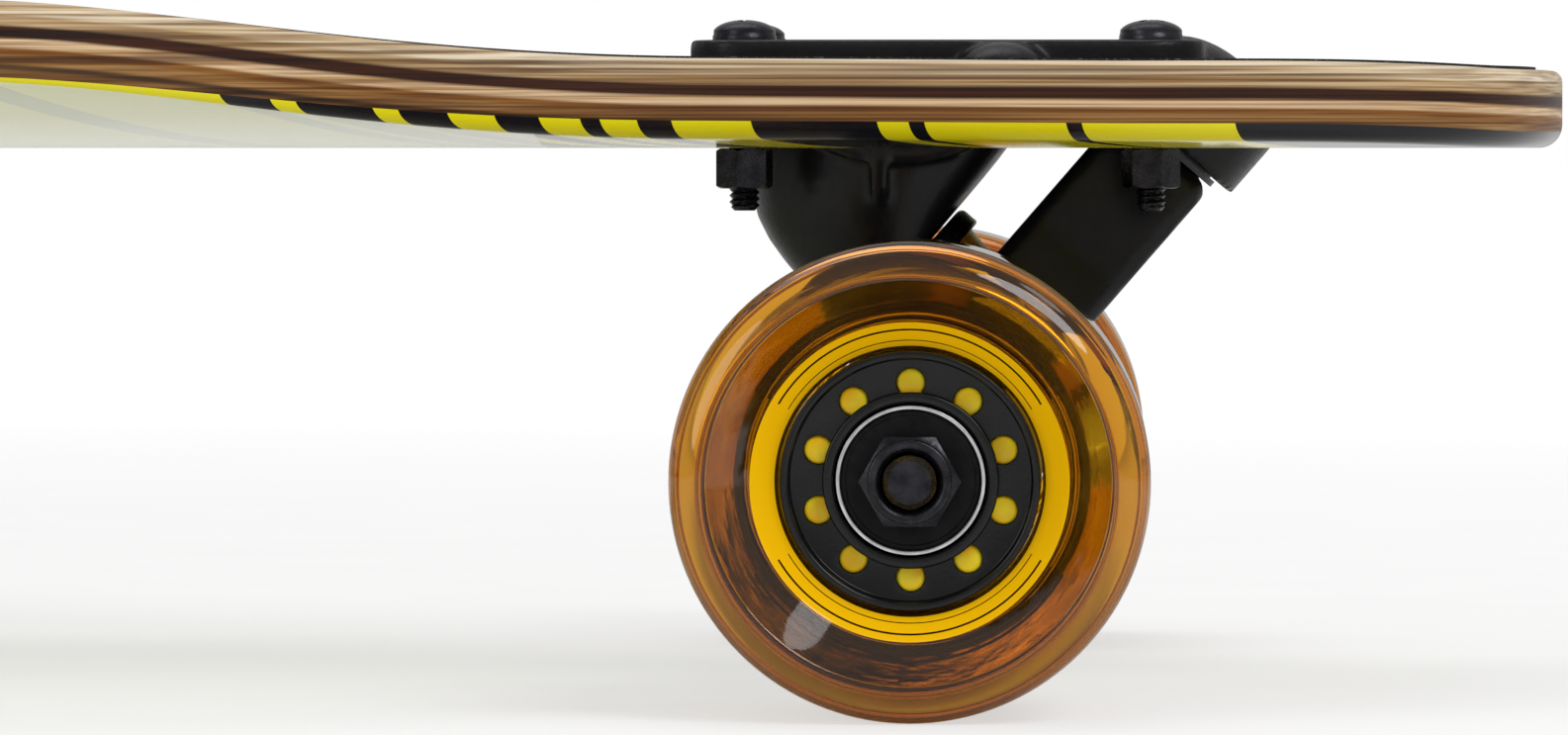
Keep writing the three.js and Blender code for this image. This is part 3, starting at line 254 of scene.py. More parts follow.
WHEEL_RADIUS = 35
TYRE_BORE = 15.5  # of half the tyre's bore, along the axle
WHEEL_HALF = 25.5
SHOULDER_RADIUS = 5.5
CORE_RADIUS = 19
RIM_BORE = 17.8
CORE_FACE = 15.2  # of the core's rim, from the wheel's middle
CORE_DISC = 10.5
HUB_FACE = 12.6
HUB_RADIUS = 12.9
HUB_STEP = 4.9  # behind each bearing, from the wheel's middle
BEARING_RADIUS = 11
BEARING_HALF = 3.5

# ------------------------------------------------------------------ settings a user would change


class BoardSettings(bpy.types.PropertyGroup):
    """Sizes and colours of the deck and its grip tape"""

    rise: bpy.props.FloatProperty(
        name="Concave",
        description="How far the deck's widest edge stands above its middle",
        default=10 * MM, min=0, max=20 * MM, unit="LENGTH",
    )
    edge_paint: bpy.props.FloatProperty(
        name="Painted edge",
        description="How far the print underneath reaches up the deck's edge",
        default=2.5 * MM, min=0, max=8 * MM, unit="LENGTH",
    )
    paint: bpy.props.FloatVectorProperty(
        name="Paint", description="Ground colour of the print underneath",
        subtype="COLOR", size=3, min=0, max=1, default=(0.8, 0.72, 0.01),
    )
    grit: bpy.props.FloatProperty(
        name="Grit", description="Size of the grip tape's grains",
        default=0.45 * MM, min=0.1 * MM, max=2 * MM, unit="LENGTH",
    )


class TruckSettings(bpy.types.PropertyGroup):
    """Sizes of the castings' skin"""

    skin: bpy.props.FloatProperty(
        name="Casting skin", description="Size of the facets that the castings are made of",
        default=0.62 * MM, min=0.3 * MM, max=3 * MM, unit="LENGTH",
    )
    easing: bpy.props.IntProperty(
        name="Edge easing", description="How often the castings' edges are smoothed",
        default=5, min=0, max=20,
    )
    thread: bpy.props.FloatProperty(
        name="Thread pitch", description="Distance between the threads of axles and bolts",
        default=1 * MM, min=0.5 * MM, max=2 * MM, unit="LENGTH",
    )


class WheelSettings(bpy.types.PropertyGroup):
    """Sizes and colours of the wheels"""

    holes: bpy.props.IntProperty(
        name="Core holes", description="Number of holes through each wheel's core",
        default=10, min=3, max=20,
    )
    hole_radius: bpy.props.FloatProperty(
        name="Hole radius", description="Radius of each hole in the core",
        default=2.2 * MM, min=1 * MM, max=2.8 * MM, unit="LENGTH",
    )
    hole_circle: bpy.props.FloatProperty(
        name="Hole circle", description="Radius of the circle on which the holes lie",
        default=14.2 * MM, min=13.5 * MM, max=15.5 * MM, unit="LENGTH",
    )


class StageSettings(bpy.types.PropertyGroup):
    """Light on the object"""

    key: bpy.props.FloatProperty(
        name="Key lamp", description="Power of the key lamp; the others follow it",
        default=22, min=0, max=200, unit="POWER",
    )
    surround: bpy.props.FloatProperty(
        name="Surround", description="How strongly the white surround lights the object",
        default=0.5, min=0, max=1,
    )


# ------------------------------------------------------------------ nodes and colours


def linear(code):
    """A colour written as sRGB hex, in linear light."""
    values = [int(code[i : i + 2], 16) / 255 for i in (0, 2, 4)]
    return [v / 12.92 if v <= 0.04045 else ((v + 0.055) / 1.055) ** 2.4 for v in values] + [1]


def add(tree, kind, inputs=None, stops=None, **settings):
    """Adds a node with its settings, its inputs' values or links, and a ramp's colour stops.

    An input may be given a socket or a node. A node gives its first output, or its colour where
    it mixes colours.
    """
    node = tree.nodes.new(kind)
    for name, value in settings.items():
        setattr(node, name, value)
    for key, value in (inputs or {}).items():
        if isinstance(value, bpy.types.Node):
            value = value.outputs[2 if value.bl_idname == MIX else 0]
        if isinstance(value, bpy.types.NodeSocket):
            tree.links.new(value, node.inputs[key])
        else:
            node.inputs[key].default_value = value
    for i, (place, colour) in enumerate(stops or []):
        ramp = node.color_ramp.elements
        stop = ramp[i] if i < len(ramp) else ramp.new(place)
        stop.position, stop.color = place, colour
    return node


MATH, MIX, RAMP, BUMP = "ShaderNodeMath", "ShaderNodeMix", "ShaderNodeValToRGB", "ShaderNodeBump"
SPREAD, ATTRIBUTE, SPLIT = "ShaderNodeMapRange", "ShaderNodeAttribute", "ShaderNodeSeparateXYZ"
COLOURS = {"data_type": "RGBA"}


def surface(name, **inputs):
    """A material, its tree and its Principled node with plain values on the node's own sockets."""
    material = bpy.data.materials.new(name)
    material.use_nodes = True
    tree = material.node_tree
    shader = tree.nodes["Principled BSDF"]
    for key, value in inputs.items():
        shader.inputs[key.replace("_", " ")].default_value = value
    return material, tree, shader


def grains(tree, size, detail=2, stretch=(1, 1, 1)):
    """Noise whose cells measure about size in millimetres, drawn out along an axis by stretch."""
    place = add(tree, "ShaderNodeTexCoord").outputs["Object"]
    scale = [1 / (size * MM * s) for s in stretch]
    mapped = add(tree, "ShaderNodeMapping", {"Vector": place, "Scale": scale})
    return add(tree, "ShaderNodeTexNoise", {"Vector": mapped, "Scale": 1, "Detail": detail})


def skin_of(tree, shader, height, depth, smooth, rough):
    """Bump from a height that is depth millimetres deep, and roughness that follows it."""
    bump = add(tree, BUMP, {"Height": height, "Strength": 1, "Distance": depth * MM})
    spread = {"Value": height, "From Min": 0.3, "From Max": 0.7, "To Min": smooth, "To Max": rough}
    tree.links.new(bump.outputs[0], shader.inputs["Normal"])
    tree.links.new(add(tree, SPREAD, spread).outputs[0], shader.inputs["Roughness"])


def clouded(tree, shader, size, detail, dark, light):
    """Base colour that drifts between two colours, in clouds of about size millimetres."""
    tone = add(tree, RAMP, {0: grains(tree, size, detail)}, [(0.3, linear(dark)), (0.7, linear(light))])
    tree.links.new(tone.outputs[0], shader.inputs["Base Color"])


# ------------------------------------------------------------------ finishes

# Each function makes one finish the first time that it is asked for.
made = {}


def finish(maker, *arguments):
    """The finish that maker makes, made once."""
    if maker.__name__ not in made:
        made[maker.__name__] = maker(*arguments)
    return made[maker.__name__]


PLIES = [  # from the top down: thickness in millimetres, and colour
    (2.4, "E2D4BA"),
    (1.6, "C0A680"),
    (1.8, "3E1C02"),
    (1.4, "DCBE98"),
    (1.0, "8A5A24"),
    (1.4, "9E7745"),
    (0.8, "4E361C"),
    (1.6, "845E32"),
]
BARS = [  # of the print, by distance from the middle of the board: start in metres, and if dark
    (0.0, False), (0.036, True), (0.052, False), (0.070, True), (0.078, False), (0.150, True),
    (0.212, False), (0.226, True), (0.232, False), (0.343, True), (0.350, False), (0.374, True),
    (0.379, False), (0.382, True), (0.387, False), (0.390, True), (0.396, False), (0.399, True),
    (0.405, False), (0.408, True), (0.412, False), (0.415, True), (0.420, False), (0.432, True),
    (0.450, False), (0.455, True), (0.457, False), (0.477, True), (0.480, False), (0.503, True),
]
SLANT = 0.55  # of the bars, along the board for each metre across it
PALE_REACH = 0.362  # of the paler panel of the print, in metres from the middle


def lacquered_maple(settings):
    """Pressed maple veneers, sanded and lacquered: striped on the edge, satin, with long pores.

    The underside is screen printed with slanted bars and is glossier than the wood.
    """
    material, tree, shader = surface(
        "lacquered maple ply", IOR=1.5, Specular_IOR_Level=0.2, Coat_IOR=1.5, Coat_Roughness=0.08
    )
    place = add(tree, "ShaderNodeTexCoord")
    across = add(tree, SPLIT, {0: place.outputs["Object"]})
    far_x = add(tree, MATH, {0: across.outputs[0]}, operation="ABSOLUTE")
    far_y = add(tree, MATH, {0: across.outputs[1]}, operation="ABSOLUTE")
    depth = add(tree, ATTRIBUTE, attribute_name="depth_mm").outputs["Fac"]

    # The plies' borders wander by half a millimetre and run softly into each other.
    wander = grains(tree, 16, 3, (7, 3, 0.5))
    wandered = add(tree, MATH, {0: wander, 1: 1.2, 2: depth}, operation="MULTIPLY_ADD")
    thickness = sum(ply[0] for ply in PLIES)
    share = add(tree, MATH, {0: wandered, 1: thickness}, operation="DIVIDE")
    stops, top = [], 0.6
    for ply, colour in PLIES:
        stops.append(((top + 0.22) / thickness if stops else 0, linear(colour)))
        top += ply
        stops.append(((top - 0.22) / thickness, linear(colour)))
    plies = add(tree, RAMP, {0: share}, stops[:-1])

    # Fine fibres, half a millimetre thick and some 40 long, lie over broad and uneven streaks.
    pores = grains(tree, 0.42, 3, (110, 30, 1))
    streaks = grains(tree, 1.1, 4, (120, 45, 0.6))
    pore_shade = add(tree, RAMP, {0: pores}, [(0.36, linear("8A6A48")), (0.6, linear("FFFFFF"))])
    shades = [(0.36, linear("6A4620")), (0.46, linear("D6BE96")), (0.57, linear("FFFFFF"))]
    streak_shade = add(tree, RAMP, {0: streaks}, shades)
    wood = add(tree, MIX, {0: 0.8, 6: plies, 7: streak_shade}, blend_type="MULTIPLY", **COLOURS)
    wood = add(tree, MIX, {0: 0.6, 6: wood, 7: pore_shade}, blend_type="MULTIPLY", **COLOURS)

    # Slanted bars on a bright ground, mirrored about the board's middle lines.
    slanted = add(tree, MATH, {0: far_y, 1: SLANT, 2: far_x}, operation="MULTIPLY_ADD")
    reach = DECK_LENGTH * MM / 2 + SLANT * DECK_HALF_WIDTH * MM
    along = add(tree, MATH, {0: slanted, 1: reach}, operation="DIVIDE")
    dark, ground = linear("15161B"), [*settings.paint, 1]
    bars = add(tree, RAMP, {0: along}, [(at / reach, dark if ink else ground) for at, ink in BARS])
    bars.color_ramp.interpolation = "CONSTANT"

    # The print covers the bottom, and the rolled corner of the edge but not the lowest part of the
    # slots' walls. The corner is smaller where the deck is wider.
    widths = {"Value": far_y, "From Min": WAIST_HALF_WIDTH * MM, "From Max": DECK_HALF_WIDTH * MM}
    limits = {"To Min": DECK_THICKNESS - settings.edge_paint / MM, "To Max": DECK_THICKNESS - 0.5}
    start = add(tree, SPREAD, {**widths, **limits})
    low = add(tree, MATH, {0: depth, 1: start}, operation="GREATER_THAN")
    bottom = add(tree, MATH, {0: depth, 1: DECK_THICKNESS - 0.02}, operation="GREATER_THAN")
    wide = add(tree, MATH, {0: far_y, 1: 25 * MM}, operation="GREATER_THAN")
    end = add(tree, MATH, {0: far_x, 1: (DECK_LENGTH / 2 - 30) * MM}, operation="GREATER_THAN")
    outer = add(tree, MATH, {0: wide, 1: end}, operation="MAXIMUM")
    corner = add(tree, MATH, {0: low, 1: outer}, operation="MULTIPLY")
    printed = add(tree, MATH, {0: corner, 1: bottom}, operation="MAXIMUM")

    # Between the trucks the flat of the bottom is printed in paler tones than its rim.
    inner = add(tree, MATH, {0: far_x, 1: PALE_REACH}, operation="LESS_THAN")
    pale = add(tree, MATH, {0: bottom, 1: inner}, operation="MULTIPLY")
    inks = {0: add(tree, MATH, {0: pale, 1: 0.82}, operation="MULTIPLY"), 6: bars, 7: linear("EDF1DC")}
    bars = add(tree, MIX, inks, **COLOURS).outputs[2]
    colour = add(tree, MIX, {0: printed, 6: wood, 7: bars}, **COLOURS)
    tree.links.new(colour.outputs[2], shader.inputs["Base Color"])

    bump = add(tree, BUMP, {"Height": pores, "Strength": 0.6, "Distance": 0.05 * MM})
    tree.links.new(bump.outputs[0], shader.inputs["Normal"])
    gloss = add(tree, SPREAD, {"Value": printed, "To Min": 0.45, "To Max": 0.16})
    tree.links.new(gloss.outputs[0], shader.inputs["Roughness"])
    lacquer = add(tree, SPREAD, {"Value": printed, "To Min": 0.1, "To Max": 0.18})
    tree.links.new(lacquer.outputs[0], shader.inputs["Coat Weight"])
    return material


def abrasive_sheet(settings):
    """Silicon carbide grains in black resin on a cloth back: deep black and rough, with tiny glints
    painted into its colour as lighter speckles.
    """
    material, tree, shader = surface("silicon carbide grip sheet", IOR=1.5)
    place = add(tree, "ShaderNodeTexCoord").outputs["Object"]
    cells = add(tree, "ShaderNodeTexVoronoi", {"Vector": place, "Scale": 1 / settings.grit})
    # Painted glints: a few grains are coloured lighter to stand for tiny highlights.
    painted_glint_stops = [(0.0, linear("0B0B0C")), (0.8, linear("1B1B1D")), (0.93, linear("45464A"))]
    single = add(tree, SPLIT, {0: cells.outputs["Color"]})
    speckle = add(tree, RAMP, {0: single.outputs[0]}, painted_glint_stops)
    cloud = add(tree, RAMP, {0: grains(tree, 25, 4)}, [(0.3, linear("B8B8B8")), (0.7, linear("FFFFFF"))])
    tint = add(tree, MIX, {0: 1, 6: speckle, 7: cloud}, blend_type="MULTIPLY", **COLOURS)
    tree.links.new(tint.outputs[2], shader.inputs["Base Color"])
    skin_of(tree, shader, cells.outputs["Distance"], -0.35, 0.75, 0.95)
    return material


def black_casting():
    """Cast aluminium under a black electrophoretic coat: semi-gloss with a faint orange peel."""
    material, tree, shader = surface(
        "black coated cast aluminium",
        IOR=1.5, Specular_IOR_Level=0.2, Coat_Weight=0.06, Coat_Roughness=0.15,
    )
    dust = add(tree, RAMP, {0: grains(tree, 14, 4)}, [(0.35, linear("0B0B0D")), (0.7, linear("151518"))])
    tree.links.new(dust.outputs[0], shader.inputs["Base Color"])
    peel = grains(tree, 0.9, 3)
    skin_of(tree, shader, peel, 0.05, 0.3, 0.42)
    return material


def zinc_steel():
    """Zinc plated steel: bright and a little blue, with fine turning marks."""
    material, tree, shader = surface("zinc plated steel", Metallic=1)
    clouded(tree, shader, 4, 3, "A3A7AD", "CDD0D4")
    skin_of(tree, shader, grains(tree, 0.25, 2, (1, 6, 1)), 0.01, 0.18, 0.36)
    return material


def ground_steel():
    """The ground rings of a ball bearing: bright chrome steel with hair-fine grinding lines."""
    material, tree, shader = surface("ground chrome steel", Metallic=1)
    clouded(tree, shader, 2, 2, "B9BABD", "D9DADC")
    skin_of(tree, shader, grains(tree, 0.2, 2), 0.004, 0.16, 0.28)
    return material


def blackened_steel():
    """Black oxide on steel: dark, oily and half bright, unevenly grey."""
    material, tree, shader = surface("black oxide steel", Metallic=0.85)
    clouded(tree, shader, 2.5, 4, "1C1C20", "35353A")
    skin_of(tree, shader, grains(tree, 0.4, 3), 0.015, 0.2, 0.36)
    return material


def seal_rubber():
    """The moulded nitrile seal of a bearing: matt black with a soft sheen."""
    material, tree, shader = surface("nitrile rubber seal", IOR=1.5, Specular_IOR_Level=0.12)
    clouded(tree, shader, 1.5, 3, "0A0A0C", "141416")
    skin_of(tree, shader, grains(tree, 0.3, 2), 0.01, 0.4, 0.55)
    return material


def core_nylon():
    """Glass-filled black nylon, injection moulded: satin with a faint flow pattern."""
    material, tree, shader = surface("glass filled nylon", IOR=1.5, Specular_IOR_Level=0.3)
    clouded(tree, shader, 5, 4, "0A0A0B", "131315")
    skin_of(tree, shader, grains(tree, 0.6, 3), 0.012, 0.14, 0.24)
    return material


def cup_urethane():
    """Hard dark urethane of the pivot cups: satin."""
    material, tree, shader = surface("hard black urethane", IOR=1.5)
    clouded(tree, shader, 3, 2, "131315", "202023")
    skin_of(tree, shader, grains(tree, 0.5, 2), 0.02, 0.35, 0.5)
    return material


def bushing_urethane():
    """Cast urethane of the bushings: amber, satin, glowing where it is thin."""
    material, tree, shader = surface(
        "amber bushing urethane", IOR=1.5, Transmission_Weight=0.25, Subsurface_Weight=0.5,
        Subsurface_Radius=(4 * MM, 1.6 * MM, 0.3 * MM), Subsurface_Scale=1,
    )
    clouded(tree, shader, 6, 3, "B8621A", "D98A28")
    skin_of(tree, shader, grains(tree, 0.7, 2), 0.02, 0.22, 0.34)
    return material


def wheel_urethane():
    """Clear cast urethane, amber by its depth, which bends and darkens what lies behind it.

    The shoulder is painted deeper in colour than the dish, as painted shade for the deeper amber of
    the thick urethane there. The outer face carries a painted bright yellow band round the core,
    which is painted light for light that comes through the urethane, and printed thin dark rings
    that are broken off level with the axle.
    """
    material, tree, shader = surface("clear amber urethane", IOR=1.5)
    radius = add(tree, ATTRIBUTE, attribute_name="radius_mm").outputs["Fac"]
    sideways = add(tree, ATTRIBUTE, attribute_name="sideways").outputs["Fac"]
    outwards = add(tree, ATTRIBUTE, attribute_name="outwards_mm").outputs["Fac"]
    share = add(tree, MATH, {0: radius, 1: WHEEL_RADIUS}, operation="DIVIDE")
    face = add(tree, MATH, {0: outwards, 1: TYRE_BORE - 0.2}, operation="GREATER_THAN")
    cloud = add(tree, RAMP, {0: grains(tree, 16, 3)}, [(0.3, linear("FFD465")), (0.7, linear("FFE386"))])
    # Painted shade: the shoulder is tinted darker than the dish, standing in for the deeper amber of the
    # thick urethane there.
    shoulder = add(tree, RAMP, {0: share}, [(0.8, (0, 0, 0, 1)), (0.88, (1, 1, 1, 1))])
    rim = add(tree, MIX, {0: shoulder, 6: cloud, 7: linear("DDB878")}, blend_type="MULTIPLY", **COLOURS)
    # Painted light: a bright yellow band round the core on the outer face stands in for light that comes
    # through the urethane.
    painted_light_ramp = add(tree, RAMP, {0: share}, ring_stops(((17, 6.2),)))
    painted_light_ramp.color_ramp.interpolation = "CONSTANT"
    painted_light_band = add(tree, MATH, {0: painted_light_ramp, 1: face}, operation="MULTIPLY")
    painted_light_colour = add(tree, MIX, {0: painted_light_band, 6: rim, 7: linear("FFC60A")}, **COLOURS)
    rings = ((20.4, 0.2), (21.9, 0.3), (23.6, 0.45), (24.7, 0.42), (25.7, 0.38))
    lines = add(tree, RAMP, {0: share}, ring_stops(rings))
    lines.color_ramp.interpolation = "CONSTANT"
    inside = add(tree, MATH, {0: sideways, 1: 0.86}, operation="LESS_THAN")
    outer = add(tree, MATH, {0: face, 1: inside}, operation="MULTIPLY")
    inked = add(tree, MATH, {0: lines, 1: outer}, operation="MULTIPLY")
    colour = add(tree, MIX, {0: inked, 6: painted_light_colour, 7: linear("2A1806")}, **COLOURS)
    tree.links.new(colour.outputs[2], shader.inputs["Base Color"])
    # Under the painted light band and the printed rings the urethane is made mostly opaque.
    cover = add(tree, MATH, {0: painted_light_band, 1: 0.92, 2: inked}, operation="MULTIPLY_ADD", use_clamp=True)
    clear = add(tree, MATH, {0: 1, 1: cover}, operation="SUBTRACT")
    tree.links.new(clear.outputs[0], shader.inputs["Transmission Weight"])
    skin_of(tree, shader, grains(tree, 7, 2), 0.03, 0.02, 0.07)
    tint_by_depth(tree)
    return material


def tint_by_depth(tree):
    """Amber that deepens with every millimetre that light goes through."""
    depth = add(tree, "ShaderNodeVolumeAbsorption", {"Color": (0.88, 0.78, 0.0, 1), "Density": 62})
    tree.links.new(depth.outputs[0], tree.nodes["Material Output"].inputs["Volume"])


def ring_stops(rings):
    """Where rings of given radii and widths start and end, as shares of the wheel's radius."""
    stops = [(0, (0, 0, 0, 1))]
    for ring, width in rings:
        stops.append((ring / WHEEL_RADIUS, (1, 1, 1, 1)))
        stops.append(((ring + width) / WHEEL_RADIUS, (0, 0, 0, 1)))
    return stops


def lit_urethane():
    """Urethane in the core's holes: opaque, with its colour painted bright as painted light, as the clear
    one looks with light behind it.
    """
    material, tree, shader = surface("amber urethane in the core", IOR=1.5, Specular_IOR_Level=0.25)
    # Painted light: the bright yellow stands in for light that comes through the urethane from behind.
    tone = add(tree, RAMP, {0: grains(tree, 4, 2)}, [(0.35, linear("FFC40C")), (0.65, linear("FFE624"))])
    tree.links.new(tone.outputs[0], shader.inputs["Base Color"])
    skin_of(tree, shader, grains(tree, 2, 2), 0.02, 0.08, 0.2)
    return material


# ------------------------------------------------------------------ meshes


def arc(x, y, radius, start, stop, steps, tall=None):
    """Points of an arc from one angle to another in degrees, or of an ellipse's with tall."""
    turns = [math.radians(start + (stop - start) * i / steps) for i in range(steps + 1)]
    return [(x + radius * math.cos(t), y + (tall or radius) * math.sin(t)) for t in turns]


def eased(points, radius, steps=3):
    """A closed outline with its sharp corners turned into small arcs."""
    rounded = []
    for i, point in enumerate(points):
        here = Vector(point)
        before = Vector(points[i - 1]) - here
        after = Vector(points[(i + 1) % len(points)]) - here
        if before.angle(-after, 0) < math.radians(20) or abs(here.x) < 1e-6:
            rounded.append(here)
            continue
        reach = min(radius, before.length * 0.45, after.length * 0.45)
        start, stop = here + before.normalized() * reach, here + after.normalized() * reach
        for k in range(steps + 1):
            t = k / steps
            rounded.append(start * (1 - t) ** 2 + here * 2 * t * (1 - t) + stop * t * t)
    return rounded


def skin(shape, rings, ends="capped"):
    """Adds a surface through rings of equally many points, whose ends are capped, joined or bare."""
    rows = [[shape.verts.new(point) for point in ring] for ring in rings]
    pairs = list(zip(rows, rows[1:]))
    if ends == "joined":
        pairs.append((rows[-1], rows[0]))
    for lower, upper in pairs:
        for i in range(len(lower)):
            k = (i + 1) % len(lower)
            shape.faces.new((lower[i], lower[k], upper[k], upper[i]))
    if ends == "capped":
        shape.faces.new(rows[0][::-1])
        shape.faces.new(rows[-1])
    return shape


def turned(shape, profile, sides, place=Matrix()):
    """Adds a profile of (radius, height) points turned about Y. It closes on itself or at its poles."""
    poles = max(profile[0][0], profile[-1][0]) < 1e-6
    rings = []
    for radius, height in profile:
        turns = [2 * math.pi * i / sides for i in range(sides)]
        rings.append([place @ Vector((radius * math.sin(t), height, radius * math.cos(t))) for t in turns])
    return skin(shape, rings, "bare" if poles else "joined")


def bar(shape, radius, start, stop, sides, place=Matrix(), ease=0):
    """Adds a round bar about Y, or a hexagon with six sides, whose corners may be eased."""
    profile = [(0, start), (radius, start), (radius, stop), (0, stop)]
    return turned(shape, eased(profile, ease) if ease else profile, sides, place)


def prism(shape, outline, start, stop, place=Matrix(), ease=0):
    """Adds an outline raised along Z from start to stop, its rims drawn in by ease."""
    heart = sum((Vector((*point, 0)) for point in outline), Vector()) / len(outline)
    levels = [(start, 0), (stop, 0)]
    if ease:
        levels = [(start, ease), (start + ease, 0), (stop - ease, 0), (stop, ease)]
    rings = []
    for level, inset in levels:
        ring = []
        for point in outline:
            out = Vector((*point, 0)) - heart
            near = heart + out * (1 - inset / out.length)
            ring.append(place @ Vector((near.x, near.y, level)))
        rings.append(ring)
    return skin(shape, rings)


def oblong(left, low, right, high, corner, steps=8):
    """The outline of a rounded rectangle, anticlockwise."""
    return [
        *arc(right - corner, low + corner, corner, -90, 0, steps),
        *arc(right - corner, high - corner, corner, 0, 90, steps),
        *arc(left + corner, high - corner, corner, 90, 180, steps),
        *arc(left + corner, low + corner, corner, 180, 270, steps),
    ]


def solid(shape, name="solid", materials=()):
    """An object in millimetres from a bmesh, with its doubles merged and its faces outwards."""
    bmesh.ops.remove_doubles(shape, verts=shape.verts, dist=1e-4)
    bmesh.ops.dissolve_degenerate(shape, edges=shape.edges, dist=1e-4)
    loose = [edge for edge in shape.edges if not edge.link_faces]
    bmesh.ops.delete(shape, geom=loose, context="EDGES")
    bmesh.ops.recalc_face_normals(shape, faces=shape.faces)
    mesh = bpy.data.meshes.new(name)
    shape.to_mesh(mesh)
    shape.free()
    for material in materials:
        mesh.materials.append(material)
    thing = bpy.data.objects.new(name, mesh)
    bpy.context.scene.collection.objects.link(thing)
    return thing


def settled(thing):
    """Turns what the modifiers show into the object's own mesh."""
    shown = thing.evaluated_get(bpy.context.evaluated_depsgraph_get())
    mesh = bpy.data.meshes.new_from_object(shown)
    old = thing.data
    thing.modifiers.clear()
    thing.data = mesh
    bpy.data.meshes.remove(old)
    return thing


def carved(thing, *cutters, how="DIFFERENCE"):
    """The object less its cutters, or joined with them, which are used up."""
    for cutter in cutters:
        change = thing.modifiers.new("carve", "BOOLEAN")
        change.solver, change.operation, change.object = "EXACT", how, cutter
    settled(thing)
    for cutter in cutters:
        bpy.data.objects.remove(cutter)
    return thing


def cast(thing, settings):
    """Gives the object the eased edges and corners of a casting."""
    cell = settings.skin / MM * 1
    grid = thing.modifiers.new("skin", "REMESH")
    grid.mode, grid.voxel_size = "VOXEL", cell
    ease = thing.modifiers.new("ease", "SMOOTH")
    ease.factor, ease.iterations = 0.5, settings.easing
    return settled(thing)


def piece(name, thing, body, slot, *nodes, coat=None, place=Matrix(), sharp=35):
    """Finishes a piece: puts it in the board's frame in metres and hides the frame nodes that it stands
    for.

    One with no body is left unattached to any body.
    """
    thing.name = thing.data.name = name
    thing.data.transform(Matrix.Scale(MM, 4) @ place)
    if coat:
        thing.data.materials.clear()
        thing.data.materials.append(coat)
    for polygon in thing.data.polygons:
        polygon.use_smooth = True
    if sharp:
        thing.data.set_sharp_from_angle(angle=math.radians(sharp))
    if body:
        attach(thing, body)
    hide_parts(*nodes)
    return thing


def twin(thing):
    """A second object with its own copy of the mesh."""
    other = thing.copy()
    other.data = thing.data.copy()
    bpy.context.scene.collection.objects.link(other)
    return other


# ------------------------------------------------------------------ geometry nodes


def tree_of(name, **sockets):
    """A geometry node tree with named inputs, and its input and output nodes."""
    tree = bpy.data.node_groups.new(name, "GeometryNodeTree")
    tree.interface.new_socket("Geometry", in_out="OUTPUT", socket_type="NodeSocketGeometry")
    for label, kind in sockets.items():
        tree.interface.new_socket(label, in_out="INPUT", socket_type="NodeSocket" + kind)
    return tree, tree.nodes.new("NodeGroupInput"), tree.nodes.new("NodeGroupOutput")


def grown(tree, **values):
    """A plain object that holds what the tree makes of these inputs."""
    mesh = bpy.data.meshes.new(tree.name)
    thing = bpy.data.objects.new(tree.name, mesh)
    change = thing.modifiers.new(tree.name, "NODES")
    change.node_group = tree
    names = {item.name: item.identifier for item in tree.interface.items_tree if item.in_out == "INPUT"}
    for label, value in values.items():
        change[names[label]] = value
    bpy.context.scene.collection.objects.link(thing)
    return settled(thing)


def ring_of_copies():
    """A tree that sets copies of an object evenly round a circle about Y."""
    tree, given, shown = tree_of(
        "ring of copies", Count="Int", Radius="Float", Copy="Object", Finish="Material"
    )
    round_axis = {"Vertices": given.outputs["Count"], "Radius": given.outputs["Radius"]}
    circle = add(tree, "GeometryNodeMeshCircle", round_axis)
    about_y = (math.pi / 2, -math.pi / 2, 0)  # the first copy stands above the axis
    upright = add(tree, "GeometryNodeTransform", {"Geometry": circle, "Rotation": about_y})
    copy = add(tree, "GeometryNodeObjectInfo", {"Object": given.outputs["Copy"]})
    copies = {"Points": upright, "Instance": copy.outputs["Geometry"]}
    placed = add(tree, "GeometryNodeInstanceOnPoints", copies)
    real = add(tree, "GeometryNodeRealizeInstances", {0: placed})
    coated = add(tree, "GeometryNodeSetMaterial", {"Geometry": real, "Material": given.outputs["Finish"]})
    tree.links.new(coated.outputs[0], shown.inputs[0])
    return tree


def grid_of_copies():
    """A tree that sets copies of an object at the corners of a rectangle."""
    tree, given, shown = tree_of(
        "grid of copies",
        Pitch="Float", Spread="Float", Centre="Vector", Copy="Object", Finish="Material",
    )
    sizes = {"Size X": given.outputs["Pitch"], "Size Y": given.outputs["Spread"]}
    grid = add(tree, "GeometryNodeMeshGrid", {**sizes, "Vertices X": 2, "Vertices Y": 2})
    moved = add(tree, "GeometryNodeTransform", {"Geometry": grid, "Translation": given.outputs["Centre"]})
    copy = add(tree, "GeometryNodeObjectInfo", {"Object": given.outputs["Copy"]})
    turns = {"Max": (0, 0, 2 * math.pi), "Seed": 3}
    turn = add(tree, "FunctionNodeRandomValue", turns, data_type="FLOAT_VECTOR")
    copies = {"Points": moved, "Instance": copy.outputs["Geometry"], "Rotation": turn}
    placed = add(tree, "GeometryNodeInstanceOnPoints", copies)
    real = add(tree, "GeometryNodeRealizeInstances", {0: placed})
    coated = add(tree, "GeometryNodeSetMaterial", {"Geometry": real, "Material": given.outputs["Finish"]})
    tree.links.new(coated.outputs[0], shown.inputs[0])
    return tree


# ------------------------------------------------------------------ deck and grip tape


def smooth(t):
    """A share from 0 to 1 that starts and ends gently."""
    return t * t * (3 - 2 * t)


def concave(y, rise):
    """How far the deck is lifted at a distance y from its middle line."""
    beyond = max(0, abs(y) - FLAT_HALF_WIDTH)
    return rise * (beyond / (DECK_HALF_WIDTH - FLAT_HALF_WIDTH)) ** 2


